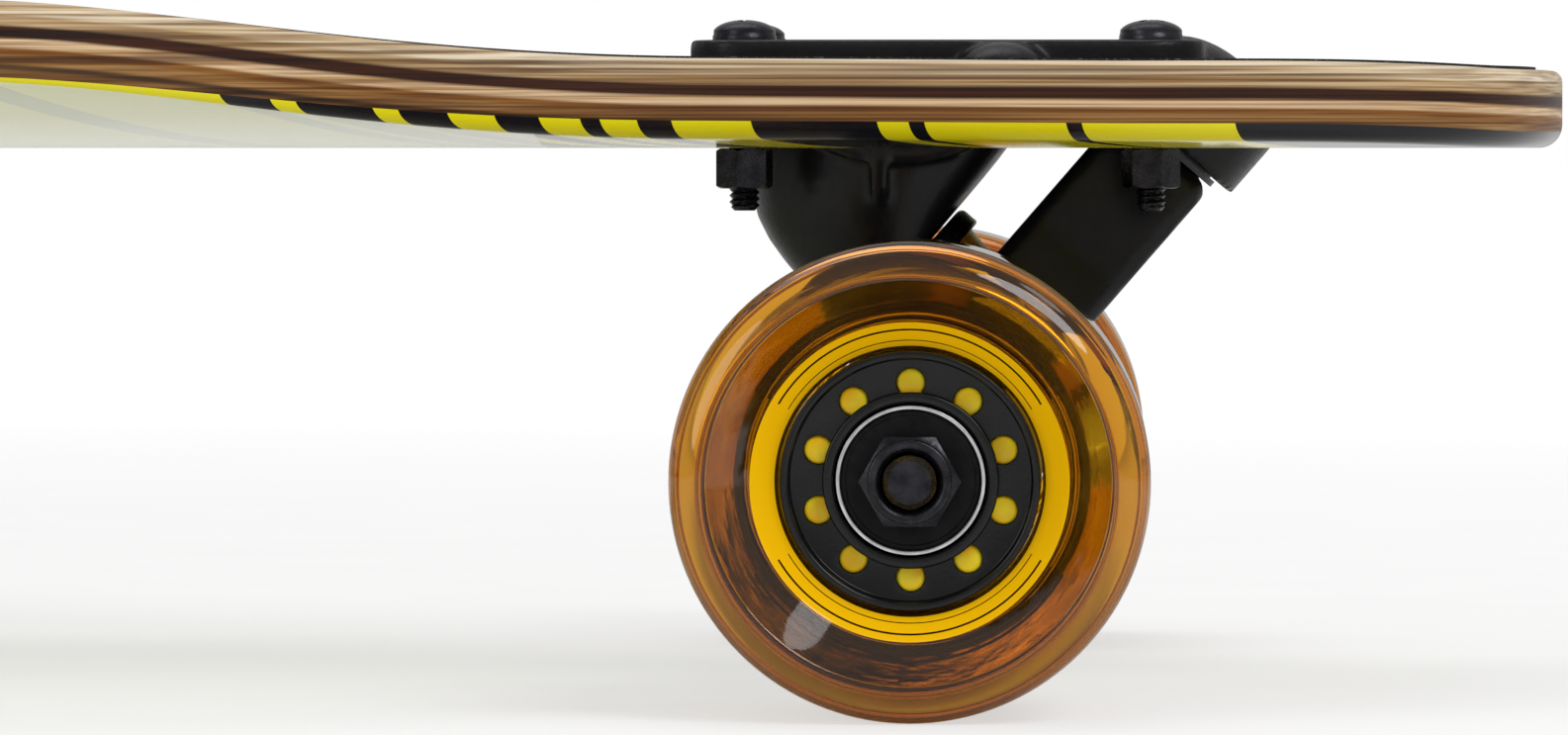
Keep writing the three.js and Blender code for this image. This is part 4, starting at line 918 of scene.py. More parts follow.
def deck_outline(steps=26):
    """The board seen from above, anticlockwise from the nose's tip."""
    axle = WHEELBASE / 2
    start = axle + NOSE_START
    quarter = []
    for i in range(steps + 1):
        turn = math.pi / 2 * (1 - i / steps)
        x = start + (DECK_LENGTH / 2 - start) * math.sqrt(math.sin(turn))
        quarter.append((x, NOSE_HALF_WIDTH * math.cos(turn)))
    for i in range(steps + 1):
        t = i / steps
        x = axle - FLARE_END - t * (FLARE_START - FLARE_END)
        quarter.append((x, WAIST_HALF_WIDTH + (DECK_HALF_WIDTH - WAIST_HALF_WIDTH) * smooth(t)))
    long = steps // 2
    middle_part = [(quarter[-1][0] * (1 - i / long), DECK_HALF_WIDTH) for i in range(1, long + 1)]
    half = quarter + middle_part
    left = half + [(-x, y) for x, y in half[-2::-1]]
    return left + [(-x, -y) for x, y in left[1:-1]]


def board_ring(outline, level, reach, rise):
    """The outline drawn in towards the middle line and bent by the concave."""
    ring = []
    for x, y in outline:
        spine = min(max(x, -SPINE_END), SPINE_END)
        edge = math.hypot(x - spine, y)
        share = reach(edge) / edge
        ring.append(Vector((spine + (x - spine) * share, y * share, level + concave(y * share, rise))))
    return ring


def face_rings(outline, level, inset, rise, steps=12):
    """The rings of a level face, from the middle line out to an inset from the edge."""
    rings = [board_ring(outline, level, lambda edge: 0, rise)]
    for i in range(steps + 1):
        share = i / steps
        reach = lambda edge: FLAT_HALF_WIDTH + share * (edge - inset - FLAT_HALF_WIDTH)
        rings.append(board_ring(outline, level, reach, rise))
    return rings


def slot_cutters(margin, low, high):
    """Both trucks' cut-outs as objects: the long slots, and their wider middles."""
    cutters = []
    for inner, outer, half, corner in (SLOT, SLOT_WAIST):
        shape = bmesh.new()
        outline = oblong(inner - margin, -half - margin, outer + margin, half + margin, corner)
        for end in ENDS:
            prism(shape, outline, low - AXLE_HEIGHT, high - AXLE_HEIGHT, TRUCK[end])
        cutters.append(solid(shape))
    return cutters


def bolt_places():
    """Where a truck's mounting bolts stand, in its frame."""
    along, across = BOLT_PITCH / 2, BOLT_SPREAD / 2
    corners = [(x, y) for x in (-along, along) for y in (-across, across)]
    return [Matrix.Translation((PLATE_OFFSET + x, y, 0)) for x, y in corners]


def make_deck(settings):
    """The pressed deck with its slots and bolt holes."""
    rise = settings.rise / MM
    outline = deck_outline()
    rings = face_rings(outline, DECK_BOTTOM, BOTTOM_ROLL, rise)
    for out, up in arc(0, 0, 1, -90, 0, 8):
        ring = []
        for x, y in outline:
            wide = min(max((abs(y) - WAIST_HALF_WIDTH) / (DECK_HALF_WIDTH - WAIST_HALF_WIDTH), 0), 1)
            roll = BOTTOM_ROLL + (WIDE_ROLL - BOTTOM_ROLL) * wide
            level = DECK_BOTTOM + roll + roll * up
            ring += board_ring([(x, y)], level, lambda edge: edge - roll + roll * out, rise)
        rings.append(ring)
    for offset, level in arc(-TOP_CORNER, DECK_TOP - TOP_CORNER, TOP_CORNER, 0, 90, 6):
        rings.append(board_ring(outline, level, lambda edge: edge + offset, rise))
    rings += face_rings(outline, DECK_TOP, TOP_CORNER, rise)[-2::-1]
    board = solid(skin(bmesh.new(), rings, "bare"))
    low, high = DECK_BOTTOM - 5, DECK_TOP + 5
    floor, ceiling = low - AXLE_HEIGHT, high - AXLE_HEIGHT
    holes = bmesh.new()
    for end in ENDS:
        for place in bolt_places():
            bar(holes, BOLT_RADIUS + FIT, floor, ceiling, 20, TRUCK[end] @ place @ ALONG_Z)
    carved(board, *slot_cutters(0, low, high), solid(holes))
    for vertex in board.data.vertices:
        vertex.co.z = min(vertex.co.z, CAD_BOX[1][2] / MM - 0.005)
    depth = board.data.attributes.new("depth_mm", "FLOAT", "POINT")
    for vertex, value in zip(board.data.vertices, depth.data):
        value.value = DECK_TOP + concave(vertex.co.y, rise) - vertex.co.z
    piece("deck", board, "board", "maple", "deck", coat=finish(lacquered_maple, settings), sharp=40)


def make_grip(settings):
    """The grip sheet, cut round the baseplates and inside the deck's edge."""
    rise = settings.rise / MM
    outline = deck_outline()
    bottom = DECK_TOP + FLUSH
    top = bottom + GRIP_THICKNESS
    rings = face_rings(outline, bottom, GRIP_INSET, rise)
    rings += face_rings(outline, top, GRIP_INSET, rise)[::-1]
    sheet = solid(skin(bmesh.new(), rings, "bare"))
    plates = bmesh.new()
    lugs = bmesh.new()
    floor, ceiling = bottom - 5 - AXLE_HEIGHT, top + 5 - AXLE_HEIGHT
    for end in ENDS:
        prism(plates, plate_outline(GRIP_MARGIN), floor, ceiling, TRUCK[end])
        for place in lug_places():
            upright = TRUCK[end] @ Matrix.Translation(place) @ ALONG_Z
            bar(lugs, LUG_RADIUS + GRIP_MARGIN, floor, ceiling, 40, upright)
    carved(sheet, solid(plates), solid(lugs), *slot_cutters(GRIP_MARGIN, bottom - 5, top + 5))
    coat = finish(abrasive_sheet, settings)
    piece("grip_tape", sheet, "board", "grip_tape", "grip_tape", coat=coat, sharp=30)


# ------------------------------------------------------------------ baseplates


def plate_outline(margin):
    """The baseplate seen from above, in the truck's frame."""
    half = PLATE_LENGTH / 2 + margin
    wide = PLATE_WIDTH / 2 + margin
    return oblong(PLATE_OFFSET - half, -wide, PLATE_OFFSET + half, wide, PLATE_CORNER + margin)


def lug_places():
    """The middles of the lugs on the plate's long sides."""
    return [Vector((PLATE_OFFSET + LUG_OFFSET, side * PLATE_WIDTH / 2, 0)) for side in (-1, 1)]


def oval(x, z, length, width, slant, points=72):
    """An oval ring of the tower. Its long half may slant upwards."""
    turns = [2 * math.pi * i / points for i in range(points)]
    return [
        Vector((x + length * math.cos(t), width * math.sin(t), z + slant * math.cos(t))) for t in turns
    ]


def kingpin_ring(offset, radius, points=72):
    """A round ring square to the kingpin."""
    turns = [2 * math.pi * i / points for i in range(points)]
    return [
        TIP @ Vector((offset, radius * math.sin(t), KINGPIN_RISE + radius * math.cos(t))) for t in turns
    ]


def flowing(rings, steps=6):
    """Rings joined by a smooth curve through each row of points."""
    rows = [rings[0], *rings, rings[-1]]
    smoothed = []
    for a, b, c, d in zip(rows, rows[1:], rows[2:], rows[3:]):
        for k in range(steps):
            t = k / steps
            ring = []
            for p, q, r, s in zip(a, b, c, d):
                ring.append(0.5 * (2 * q + (r - p) * t + (2 * p - 5 * q + 4 * r - s) * t**2
                                   + (3 * q - p - 3 * r + s) * t**3))
            smoothed.append(ring)
    return [*smoothed, rings[-1]]


def tower(shape, wall, seat, top):
    """The kingpin tower's outside, or its hollow where it has a wall."""
    knee = (KNEE_HALF_LENGTH - wall, KNEE_HALF_WIDTH - wall, KNEE_SLANT)
    foot = (TOWER_HALF_LENGTH - wall, TOWER_HALF_WIDTH - wall, 0)
    rings = [
        seat,
        oval(KNEE_MIDDLE, DECK_LEVEL - KNEE_DROP, *knee),
        oval(TOWER_MIDDLE, DECK_LEVEL, *foot),
    ]
    return skin(shape, [*flowing(rings), oval(TOWER_MIDDLE, top, *foot)])


def on_steering(height=0):
    """The frame of what is turned about the steering axis."""
    return TIP @ Matrix.Translation((-RAKE, 0, height)) @ ALONG_Z


def on_kingpin():
    """The frame of what is turned about the kingpin."""
    return TIP @ Matrix.Translation((0, 0, KINGPIN_RISE)) @ ALONG_X


FROM_Y = Matrix(((1, 0, 0, 0), (0, 0, -1, 0), (0, 1, 0, 0), (0, 0, 0, 1)))  # outline in x and z
FROM_X = Matrix(((0, 0, 1, 0), (1, 0, 0, 0), (0, 1, 0, 0), (0, 0, 0, 1)))  # outline in y and z


def baseplate(settings):
    """One baseplate in the truck's frame: plate, tower, webs, ribs, spine, lugs and pivot boss."""
    deck = DECK_LEVEL
    body = solid(prism(bmesh.new(), plate_outline(0), PLATE_BOTTOM, PLATE_TOP))
    parts = [tower(bmesh.new(), 0, kingpin_ring(TOWER_SEAT, 12), PLATE_TOP - 1)]
    cap = arc(0, BOSS_MOUTH + 9.2, BOSS_RADIUS, 0, 90, 12, tall=7.6)
    boss = [(0, BOSS_MOUTH), (BOSS_RADIUS, BOSS_MOUTH), *cap]
    parts.append(turned(bmesh.new(), boss, 64, on_steering()))
    spread = math.degrees(math.asin(WEB_HALF_LENGTH / WEB_RADIUS))
    foot = arc(WEB_MIDDLE, deck - WEB_DROP + WEB_RADIUS, WEB_RADIUS, -90 - spread, -90 + spread, 12)
    web = [(WEB_MIDDLE - WEB_HALF_LENGTH, deck + 1), *foot, (WEB_MIDDLE + WEB_HALF_LENGTH, deck + 1)]
    rib = [
        (-20, deck + 1),
        (-20, deck - 14),
        (-18.7, deck - 18.4),
        (-16.4, deck - 20.6),
        (-13, deck - 20.8),
        (-13, deck + 1),
    ]
    half_web, half_rib, half_spine = WEB_THICKNESS / 2, RIB_THICKNESS / 2, SPINE_THICKNESS / 2
    for side in (-1, 1):
        beside = Matrix.Translation((0, side * (WEB_OUTER - half_web), 0)) @ FROM_Y
        parts.append(prism(bmesh.new(), web, -half_web, half_web, beside))
        outline = [(y * -side, z) for y, z in rib]
        across = Matrix.Translation((-6.9, 0, 0)) @ FROM_X
        parts.append(prism(bmesh.new(), outline, -half_rib, half_rib, across))
    heel = ARM_TOP * TIP[0][2]
    spine = [(6.5, PLATE_TOP - 1), (11.6, deck - 10.5), (heel - 12.4, deck - 5.2), (heel, PLATE_TOP - 1)]
    parts.append(prism(bmesh.new(), spine, -half_spine, half_spine, FROM_Y))
    lug = [(0, PLATE_BOTTOM), *arc(0, PLATE_BOTTOM, LUG_RADIUS, 0, 90, 10, tall=LUG_HEIGHT)]
    for place in lug_places():
        parts.append(turned(bmesh.new(), lug, 48, Matrix.Translation(place) @ ALONG_Z))
    carved(body, *[solid(part) for part in parts], how="UNION")

    neck = kingpin_ring(HEAD_FACE - KINGPIN_HEAD / 2, KINGPIN_FLATS / 2 + FIT)
    socket, socket_end = hexagon(KINGPIN_FLATS + 2 * FIT), HEAD_FACE - KINGPIN_HEAD - 1
    tools = [
        tower(bmesh.new(), TOWER_WALL, neck, PLATE_TOP + 4),
        bar(bmesh.new(), socket, socket_end, BOWL_FLOOR, 6, on_kingpin() @ HEX_TURN),
        bar(bmesh.new(), KINGPIN_BORE, BOWL_FLOOR - 2, TOWER_SEAT + 2, 40, on_kingpin()),
    ]
    bore = [
        (0, BOSS_MOUTH - 2),
        (CUP_RADIUS + FIT, BOSS_MOUTH - 2),
        (CUP_RADIUS + FIT, CUP_TAPER),
        (5.8, CUP_END + FIT),
        (0, CUP_END + FIT),
    ]
    tools.append(turned(bmesh.new(), bore, 48, on_steering()))
    for place in bolt_places():
        upright = place @ ALONG_Z
        tools.append(bar(bmesh.new(), BOLT_RADIUS + FIT, PLATE_BOTTOM - 2, PLATE_TOP + 2, 24, upright))
    carved(body, *[solid(tool) for tool in tools])
    return cast(body, settings)


HEX_TURN = Matrix.Rotation(math.pi / 6, 4, "Y")


def hexagon(flats):
    """Half the width across the corners of a hexagon, from its width across the flats."""
    return flats / math.sqrt(3)


def both_trucks(name, thing, slot_name, body="board", place=Matrix(), **options):
    """Sets a piece of the truck at the front, and its twin at the rear, and returns both by end."""
    both = dict(zip(ENDS, (thing, twin(thing))))
    for end, one in both.items():
        on = f"{end}_{body}" if body == "hanger" else body
        piece(f"{end}_{name}", one, on, slot_name, f"{end}_{name}", place=TRUCK[end] @ place, **options)
    return both


def make_baseplates(settings):
    """Both baseplates."""
    both_trucks("baseplate", baseplate(settings), "black_casting", coat=finish(black_casting), sharp=0)


# ------------------------------------------------------------------ hangers


def wing_ring(y, points=48):
    """A ring round the axle at one place along it, from the body's box to the wing's round end."""
    taper = smooth(min(max((abs(y) - BODY_HALF) / (WING_END - BODY_HALF), 0), 1))
    ring = []
    for i in range(points):
        turn = 2 * math.pi * i / points
        power = 1 / (2 - taper)
        bulge = [math.copysign(abs(v) ** power, v) for v in (math.sin(turn), math.cos(turn))]
        thick = HANGER_THICKNESS / 2 * (1 - taper) + WING_RADIUS * taper
        tall = BODY_HALF_HEIGHT * (1 - taper) + WING_RADIUS * taper
        x = -RAKE * (1 - taper) + thick * bulge[0]
        ring.append(Vector((x, y, BODY_RISE * (1 - taper) + tall * bulge[1])))
    return ring


def arm_outline():
    """The arm seen along the kingpin, from the body round the kingpin up to the pivot."""
    right = [(ARM_FOOT, 0), (ARM_SIDE, KINGPIN_RISE)]
    bend = KINGPIN_RISE + ARM_BEND_RISE
    for i in range(1, 9):
        t = i / 8
        y = ARM_SIDE * (1 - t) ** 2 + ARM_BEND * 2 * t * (1 - t) + ARM_NECK * t * t
        z = KINGPIN_RISE * (1 - t) ** 2 + bend * 2 * t * (1 - t) + ARM_NECK_RISE * t * t
        right.append((y, z))
    right += [(10, ARM_TOP - 1.6), (8.4, ARM_TOP)]
    return right + [(-y, z) for y, z in right[::-1]]


def hanger(settings):
    """One hanger in the truck's frame: wings, arm, nose, washer collars, bore and bushing seats."""
    stations = [BODY_HALF + (WING_END - BODY_HALF) * i / 14 for i in range(15)] + [HANGER_HALF]
    rings = [wing_ring(y) for y in [-y for y in stations[::-1]] + stations]
    body = solid(skin(bmesh.new(), rings))
    arm = prism(bmesh.new(), arm_outline(), -HANGER_THICKNESS / 2, HANGER_THICKNESS / 2,
                Matrix.Translation((-RAKE, 0, 0)) @ FROM_X, ease=1.6)
    tip = arc(0, NOSE_END - NOSE_TIP, NOSE_TIP, 0, 90, 8)
    nose = [(0, ARM_TOP - 4), (NOSE_RADIUS, ARM_TOP - 4), (NOSE_RADIUS, NOSE_TAPER), *tip]
    parts = [arm, turned(bmesh.new(), nose, 40, Matrix.Translation((-RAKE, 0, 0)) @ ALONG_Z)]
    for side in (-1, 1):
        collar = (side * (HANGER_HALF - 2), side * (HANGER_HALF + 1))
        parts.append(bar(bmesh.new(), COLLAR_RADIUS, *collar, 40))
    carved(body, *[solid(part) for part in parts], how="UNION")
    about = Matrix.Translation((0, 0, KINGPIN_RISE)) @ ALONG_X
    seat = BUSHING_RADIUS + 1
    tools = [
        bar(bmesh.new(), AXLE_BORE, -HANGER_HALF - 3, HANGER_HALF + 3, 40),
        bar(bmesh.new(), HANGER_BORE, SLAB_INNER - 2, SLAB_OUTER + 2, 48, about),
        bar(bmesh.new(), seat, SLAB_INNER - 2, SLAB_INNER + RECESS_DEPTH, 64, about),
        bar(bmesh.new(), seat, SLAB_OUTER - RECESS_DEPTH, SLAB_OUTER + 2, 64, about),
    ]
    carved(body, *[solid(tool) for tool in tools])
    body.data.transform(TIP)
    return cast(body, settings)


def make_hangers(settings):
    """Both hangers."""
    both_trucks("hanger", hanger(settings), "black_casting", "hanger", coat=finish(black_casting), sharp=0)


# ------------------------------------------------------------------ fasteners


def rod(shape, radius, start, stop, plain, pitch, chamfer=0.8, sides=32):
    """Adds a rod about Y with chamfered ends and a helical thread outside its plain stretch."""
    low, high = max(plain[0], start), min(plain[1], stop)
    heights = {start, start + chamfer, low, high, stop - chamfer, stop}
    for a, b in ((start, low), (high, stop)):
        steps = round(6 * (b - a) / pitch)
        heights.update(a + (b - a) * k / steps for k in range(1, steps))
    rings = [[Vector((0, start, 0))] * sides]
    for height in sorted(heights):
        turned_off = max(0, chamfer - min(height - start, stop - height))
        ring = []
        for i in range(sides):
            wave = abs(2 * ((height / pitch - i / sides) % 1) - 1)
            groove = 0 if low <= height <= high else 0.5 * pitch * wave
            reach = radius - max(turned_off, groove)
            turn = 2 * math.pi * i / sides
            ring.append(Vector((reach * math.sin(turn), height, reach * math.cos(turn))))
        rings.append(ring)
    return skin(shape, [*rings, [Vector((0, stop, 0))] * sides], "bare")


def hexagon_body(flats, start, stop):
    """A hexagon bar about Y as an object, whose corners are turned off at both faces."""
    flat, corner = flats / 2 * 0.96, hexagon(flats) + 0.1
    drop = (corner - flat) * math.tan(math.radians(30))
    lower = [(0, start), (flat, start), (corner, start + drop)]
    profile = [*lower, (corner, stop - drop), (flat, stop), (0, stop)]
    body = solid(bar(bmesh.new(), hexagon(flats), start, stop, 6, HEX_TURN))
    return carved(body, solid(turned(bmesh.new(), profile, 72)), how="INTERSECT")


def lock_nut(flats, bore, start, height, collar):
    """A hexagon nut about Y, with a round collar at its far end that holds the locking ring."""
    step, top = start + height - collar, start + height
    outer = flats / 2 - collar / 4
    nut = hexagon_body(flats, start, step)
    ring = [(bore, step - 0.5), (outer, step - 0.5), (outer, top), (bore + 1, top), (bore, top - 0.5)]
    carved(nut, solid(turned(bmesh.new(), eased(ring, 0.5), 72)), how="UNION")
    return carved(nut, solid(bar(bmesh.new(), bore, start - 2, top + 2, 48)))


def make_kingpins(settings):
    """Both kingpins with their nuts and washers."""
    pitch = settings.thread / MM
    pin = hexagon_body(KINGPIN_FLATS, HEAD_FACE - KINGPIN_HEAD, HEAD_FACE)
    plain = (HEAD_FACE - KINGPIN_HEAD, CONE_TIP - 4)
    shank = rod(bmesh.new(), KINGPIN_RADIUS, HEAD_FACE - KINGPIN_HEAD / 2, KINGPIN_END, plain, pitch)
    carved(pin, solid(shank), how="UNION")
    on_pin = {"place": on_kingpin()}
    both_trucks("kingpin", pin, "bright_steel", coat=finish(zinc_steel), **on_pin)
    nut = lock_nut(KINGPIN_FLATS, KINGPIN_BORE, KINGPIN_NUT, KINGPIN_NUT_HEIGHT, 2)
    both_trucks("kingpin_nut", nut, "bright_steel", coat=finish(zinc_steel), **on_pin)
    back, radius = CUP_WASHER_BACK, CUP_WASHER_RADIUS
    seat, rim = back + WASHER_THICKNESS, back + CUP_WASHER_HEIGHT
    cup = [
        (KINGPIN_BORE, back),
        *arc(radius - 1.1, back + 1.1, 1.1, -90, 0, 6),
        (radius, rim - 0.3),
        (radius - 0.3, rim),
        (BUSHING_RADIUS + FIT, rim),
        (BUSHING_RADIUS + FIT, seat),
        (KINGPIN_BORE, seat),
    ]
    washer = solid(turned(bmesh.new(), cup, 96))
    both_trucks("boardside_washer", washer, "black_steel", coat=finish(blackened_steel), **on_pin)
    near, far = ROADSIDE_WASHER, ROADSIDE_WASHER + WASHER_THICKNESS
    flat = [(KINGPIN_BORE, near), (WASHER_RADIUS, near), (WASHER_RADIUS, far), (KINGPIN_BORE, far)]
    washer = solid(turned(bmesh.new(), eased(flat, 0.4), 72))
    both_trucks("roadside_washer", washer, "black_steel", coat=finish(blackened_steel), **on_pin)


def make_bushings():
    """The barrel and the cone bushing of both trucks, and their pivot cups.
    """
    barrel = [(KINGPIN_BORE, BARREL_FOOT)]
    for i in range(13):
        hollow = 0.8 * math.sin(math.pi * i / 12)
        barrel.append((BUSHING_RADIUS - hollow, BARREL_FOOT + (BARREL_TOP - BARREL_FOOT) * i / 12))
    barrel.append((KINGPIN_BORE, BARREL_TOP))
    cone = [
        (KINGPIN_BORE, CONE_FOOT),
        (BUSHING_RADIUS, CONE_FOOT),
        (BUSHING_RADIUS, CONE_FOOT + RECESS_DEPTH),
        (CONE_TIP_RADIUS, CONE_TIP),
        (KINGPIN_BORE, CONE_TIP),
    ]
    free = {  # from where a bushing leaves its washer to where it enters the hanger
        "boardside_bushing": (barrel, BARREL_FOOT + 1.6, BARREL_TOP + FIT - RECESS_DEPTH),
        "roadside_bushing": (cone, CONE_TIP, CONE_FOOT - FIT + RECESS_DEPTH),
    }
    for name, (profile, *ends) in free.items():
        bushing = solid(turned(bmesh.new(), eased(profile, 0.9), 96))
        coat = finish(bushing_urethane)
        both = both_trucks(name, bushing, "bushing_urethane", None, coat=coat, place=on_kingpin())
        for end, one in both.items():
            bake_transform(one)
    cup = [
        (NOSE_RADIUS + FIT, CUP_FLANGE),
        (CUP_FLANGE_RADIUS, CUP_FLANGE),
        (CUP_FLANGE_RADIUS, CUP_FLANGE + FLANGE_THICKNESS),
        (CUP_RADIUS, CUP_FLANGE + FLANGE_THICKNESS),
        (CUP_RADIUS, CUP_TAPER),
        (5.5, CUP_END),
        (0, CUP_END),
        *arc(0, NOSE_END - NOSE_TIP, NOSE_TIP + FIT, 90, 0, 10),
        (NOSE_RADIUS + FIT, NOSE_TAPER + FIT),
    ]
    cup = solid(turned(bmesh.new(), cup[6:] + cup[:7], 64))
    both_trucks("pivot_cup", cup, "cup_urethane", coat=finish(cup_urethane), place=on_steering())


def make_bolts(settings):
    """The eight mounting bolts with their lock nuts run up under the deck."""
    seat, foot = PLATE_TOP + FLUSH, DECK_LEVEL - DECK_THICKNESS - FLUSH
    turns = [math.pi / 2 * i / 12 for i in range(2, 13)]
    dome = [(BOLT_HEAD_RADIUS * math.cos(t), 0.9 + 2.2 * math.sin(t)) for t in turns]
    head = [(0, 0), (BOLT_HEAD_RADIUS, 0), (BOLT_HEAD_RADIUS, 0.55), (4.85, 0.8), *dome]
    bolt = solid(turned(bmesh.new(), [(r, seat + h) for r, h in head], 64))
    for turn in (0, math.pi / 2):
        arm = [(-2.3, seat + 1.1), (2.3, seat + 1.1), (2.9, seat + 4), (-2.9, seat + 4)]
        carved(bolt, solid(prism(bmesh.new(), arm, -0.45, 0.45, Matrix.Rotation(turn, 4, "Y"))))
    plain = (seat - 19, seat + 1)
    shank = rod(bmesh.new(), BOLT_RADIUS, seat - BOLT_LENGTH, seat + 0.4, plain, settings.thread / MM)
    nut = hexagon_body(BOLT_NUT_FLATS, foot - BOLT_NUT_HEIGHT, foot)
    carved(bolt, solid(shank), nut, how="UNION")
    bolt.data.transform(ALONG_Z)
    tree = grid_of_copies()
    spots = {"Pitch": BOLT_PITCH, "Spread": BOLT_SPREAD, "Centre": (PLATE_OFFSET, 0, 0)}
    for end in ENDS:
        bolts = grown(tree, **spots, Copy=bolt, Finish=finish(blackened_steel))
        nodes = [f"{end}_mounting_bolt_{number}" for number in range(1, 5)]
        piece(f"{end}_mounting_bolts", bolts, "board", "black_steel", *nodes, place=TRUCK[end])
    bpy.data.objects.remove(bolt)


def facing(side):
    """The turn that points a wheel's outer face to its own side of the board."""
    return Matrix.Rotation(math.pi, 4, "X") if side == "right" else Matrix()


def sleeve_of(radius, start, stop):
    """The profile of a ring on the axle."""
    return [(AXLE_BORE, start), (radius, start), (radius, stop), (AXLE_BORE, stop)]


def make_axles(settings):
    """Both axles, threaded at their ends, with a washer and a nut outside each wheel."""
    thread = settings.thread / MM
    plain = (-AXLE_PLAIN, AXLE_PLAIN)
    pin = solid(rod(bmesh.new(), AXLE_RADIUS, -AXLE_HALF, AXLE_HALF, plain, thread))
    both_trucks("axle", pin, "black_steel", "hanger", coat=finish(blackened_steel))
    flat = sleeve_of(SPEED_WASHER_RADIUS, SPEED_WASHER_START, SPEED_WASHER_END)
    long = sleeve_of(SPACER_RADIUS, SPACER_START, SPACER_END)
    washer = solid(turned(bmesh.new(), eased(flat, 0.25), 64))
    spacer = solid(turned(bmesh.new(), eased(long, 0.3), 64))
    nut = lock_nut(AXLE_NUT_FLATS, AXLE_BORE, AXLE_NUT_FOOT, AXLE_NUT_HEIGHT, 1.4)
    fittings = (
        ("speed_washer", washer, "bright_steel", finish(zinc_steel)),
        ("spacer", spacer, "bright_steel", finish(zinc_steel)),
        ("axle_nut", nut, "black_steel", finish(blackened_steel)),
    )
    for end, side in WHEELS:
        place = Matrix.Translation(AXLE[end]) @ facing(side)
        for name, thing, slot, coat in fittings:
            label = f"{end}_{side}_{name}"
            piece(label, twin(thing), f"{end}_hanger", slot, label, coat=coat, place=place)
    for thing in (washer, spacer, nut):
        bpy.data.objects.remove(thing)


# ------------------------------------------------------------------ wheels


def mirrored(half):
    """A half profile, from the bore outwards, with its mirror image about the wheel's middle."""
    return [(r, -h) for r, h in half] + half[::-1]


def tyre():
    """One tyre about Y, with the distances from its axle stored for the print, the painted shade and the
    painted light on its face.
    """
    dish = [(CORE_RADIUS + FIT, TYRE_BORE), (23.3, 19.5), (26.4, 22.2)]
    middle_of_round = (WHEEL_RADIUS - SHOULDER_RADIUS, WHEEL_HALF - SHOULDER_RADIUS)
    shoulder = arc(*middle_of_round, SHOULDER_RADIUS, 90, 0, 14)
    thing = solid(turned(bmesh.new(), eased(mirrored([*dish, *shoulder]), 3.2, 9), 144))
    measures = {
        "radius_mm": lambda co: math.hypot(co.x, co.z),
        "sideways": lambda co: abs(co.x) / math.hypot(co.x, co.z),
        "outwards_mm": lambda co: co.y,
    }
    for name, measure in measures.items():
        stored = thing.data.attributes.new(name, "FLOAT", "POINT")
        for vertex, value in zip(thing.data.vertices, stored.data):
            value.value = measure(vertex.co)
    return thing


def core(settings):
    """One core about Y: a rim and a drilled disc round the hub that holds the bearings."""
    disc = [(12.1, CORE_DISC), (RIM_BORE, CORE_DISC), (RIM_BORE, CORE_FACE), (CORE_RADIUS, CORE_FACE)]
    hub = [(8.7, HUB_STEP), (11.3, HUB_STEP), (11.3, HUB_FACE), (HUB_RADIUS, HUB_FACE)]
    body = solid(turned(bmesh.new(), eased(mirrored(disc), 0.4), 120))
    drill = solid(bar(bmesh.new(), settings.hole_radius / MM, -20, 20, 32))
    holes = {"Count": settings.holes, "Radius": settings.hole_circle / MM, "Copy": drill}
    carved(body, grown(ring_of_copies(), Finish=finish(core_nylon), **holes))
    bpy.data.objects.remove(drill)
    carved(body, solid(turned(bmesh.new(), eased(mirrored(hub), 0.4), 120)), how="UNION")
    return body


def plugs(settings):
    """The urethane that fills the core's holes, set back from the disc's faces."""
    reach, radius = CORE_DISC - 0.5, settings.hole_radius / MM - 0.05
    profile = [(0, -reach), (radius, -reach), (radius, reach), (0, reach)]
    plug = solid(turned(bmesh.new(), eased(profile, 0.6), 32))
    places = {"Count": settings.holes, "Radius": settings.hole_circle / MM, "Copy": plug}
    filled = grown(ring_of_copies(), Finish=finish(lit_urethane), **places)
    bpy.data.objects.remove(plug)
    return filled


def bearing():
    """One ball bearing about Y: ground rings with a rubber seal between them on both faces."""
    face = BEARING_HALF
    inner_ring = [(AXLE_BORE, face), (5.2, face), (5.3, 3.1), (6.1, 3.1)]
    seal = [(6.3, 3.3), (9.4, 3.3), (9.6, 3.05), (10.2, 3.05)]
    half = [*inner_ring, *seal, (10.3, face), (BEARING_RADIUS, face)]
    coats = (finish(ground_steel), finish(seal_rubber))
    thing = solid(turned(bmesh.new(), eased(mirrored(half), 0.2), 96), materials=coats)
    for polygon in thing.data.polygons:
        reach = math.hypot(polygon.center.x, polygon.center.z)
        polygon.material_index = int(5.25 < reach < 10.25)
    return thing


def make_wheels(settings):
    """All four wheels with their cores and bearings."""
    rubber, hub, filling, race = tyre(), core(settings), plugs(settings), bearing()
    for end, side in WHEELS:
        label, body = f"{end}_{side}", f"{end}_{side}_wheel"
        place = Matrix.Translation(middle(f"{label}_tyre")) @ facing(side)
        name, coat = f"{label}_tyre", finish(wheel_urethane)
        piece(name, twin(rubber), body, "amber_urethane", name, coat=coat, place=place)
        name, coat = f"{label}_core", finish(core_nylon)
        piece(name, twin(hub), body, "core_plastic", name, coat=coat, place=place)
        piece(f"{label}_core_filling", twin(filling), body, "amber_urethane", place=place)
        for which, offset in (("outer", 8.5), ("inner", -8.5)):
            name, seat = f"{label}_{which}_bearing", place @ Matrix.Translation((0, offset, 0))
            piece(name, twin(race), body, "bright_steel", name, place=seat)
    for thing in (rubber, hub, filling, race):
        bpy.data.objects.remove(thing)


# ------------------------------------------------------------------ stage


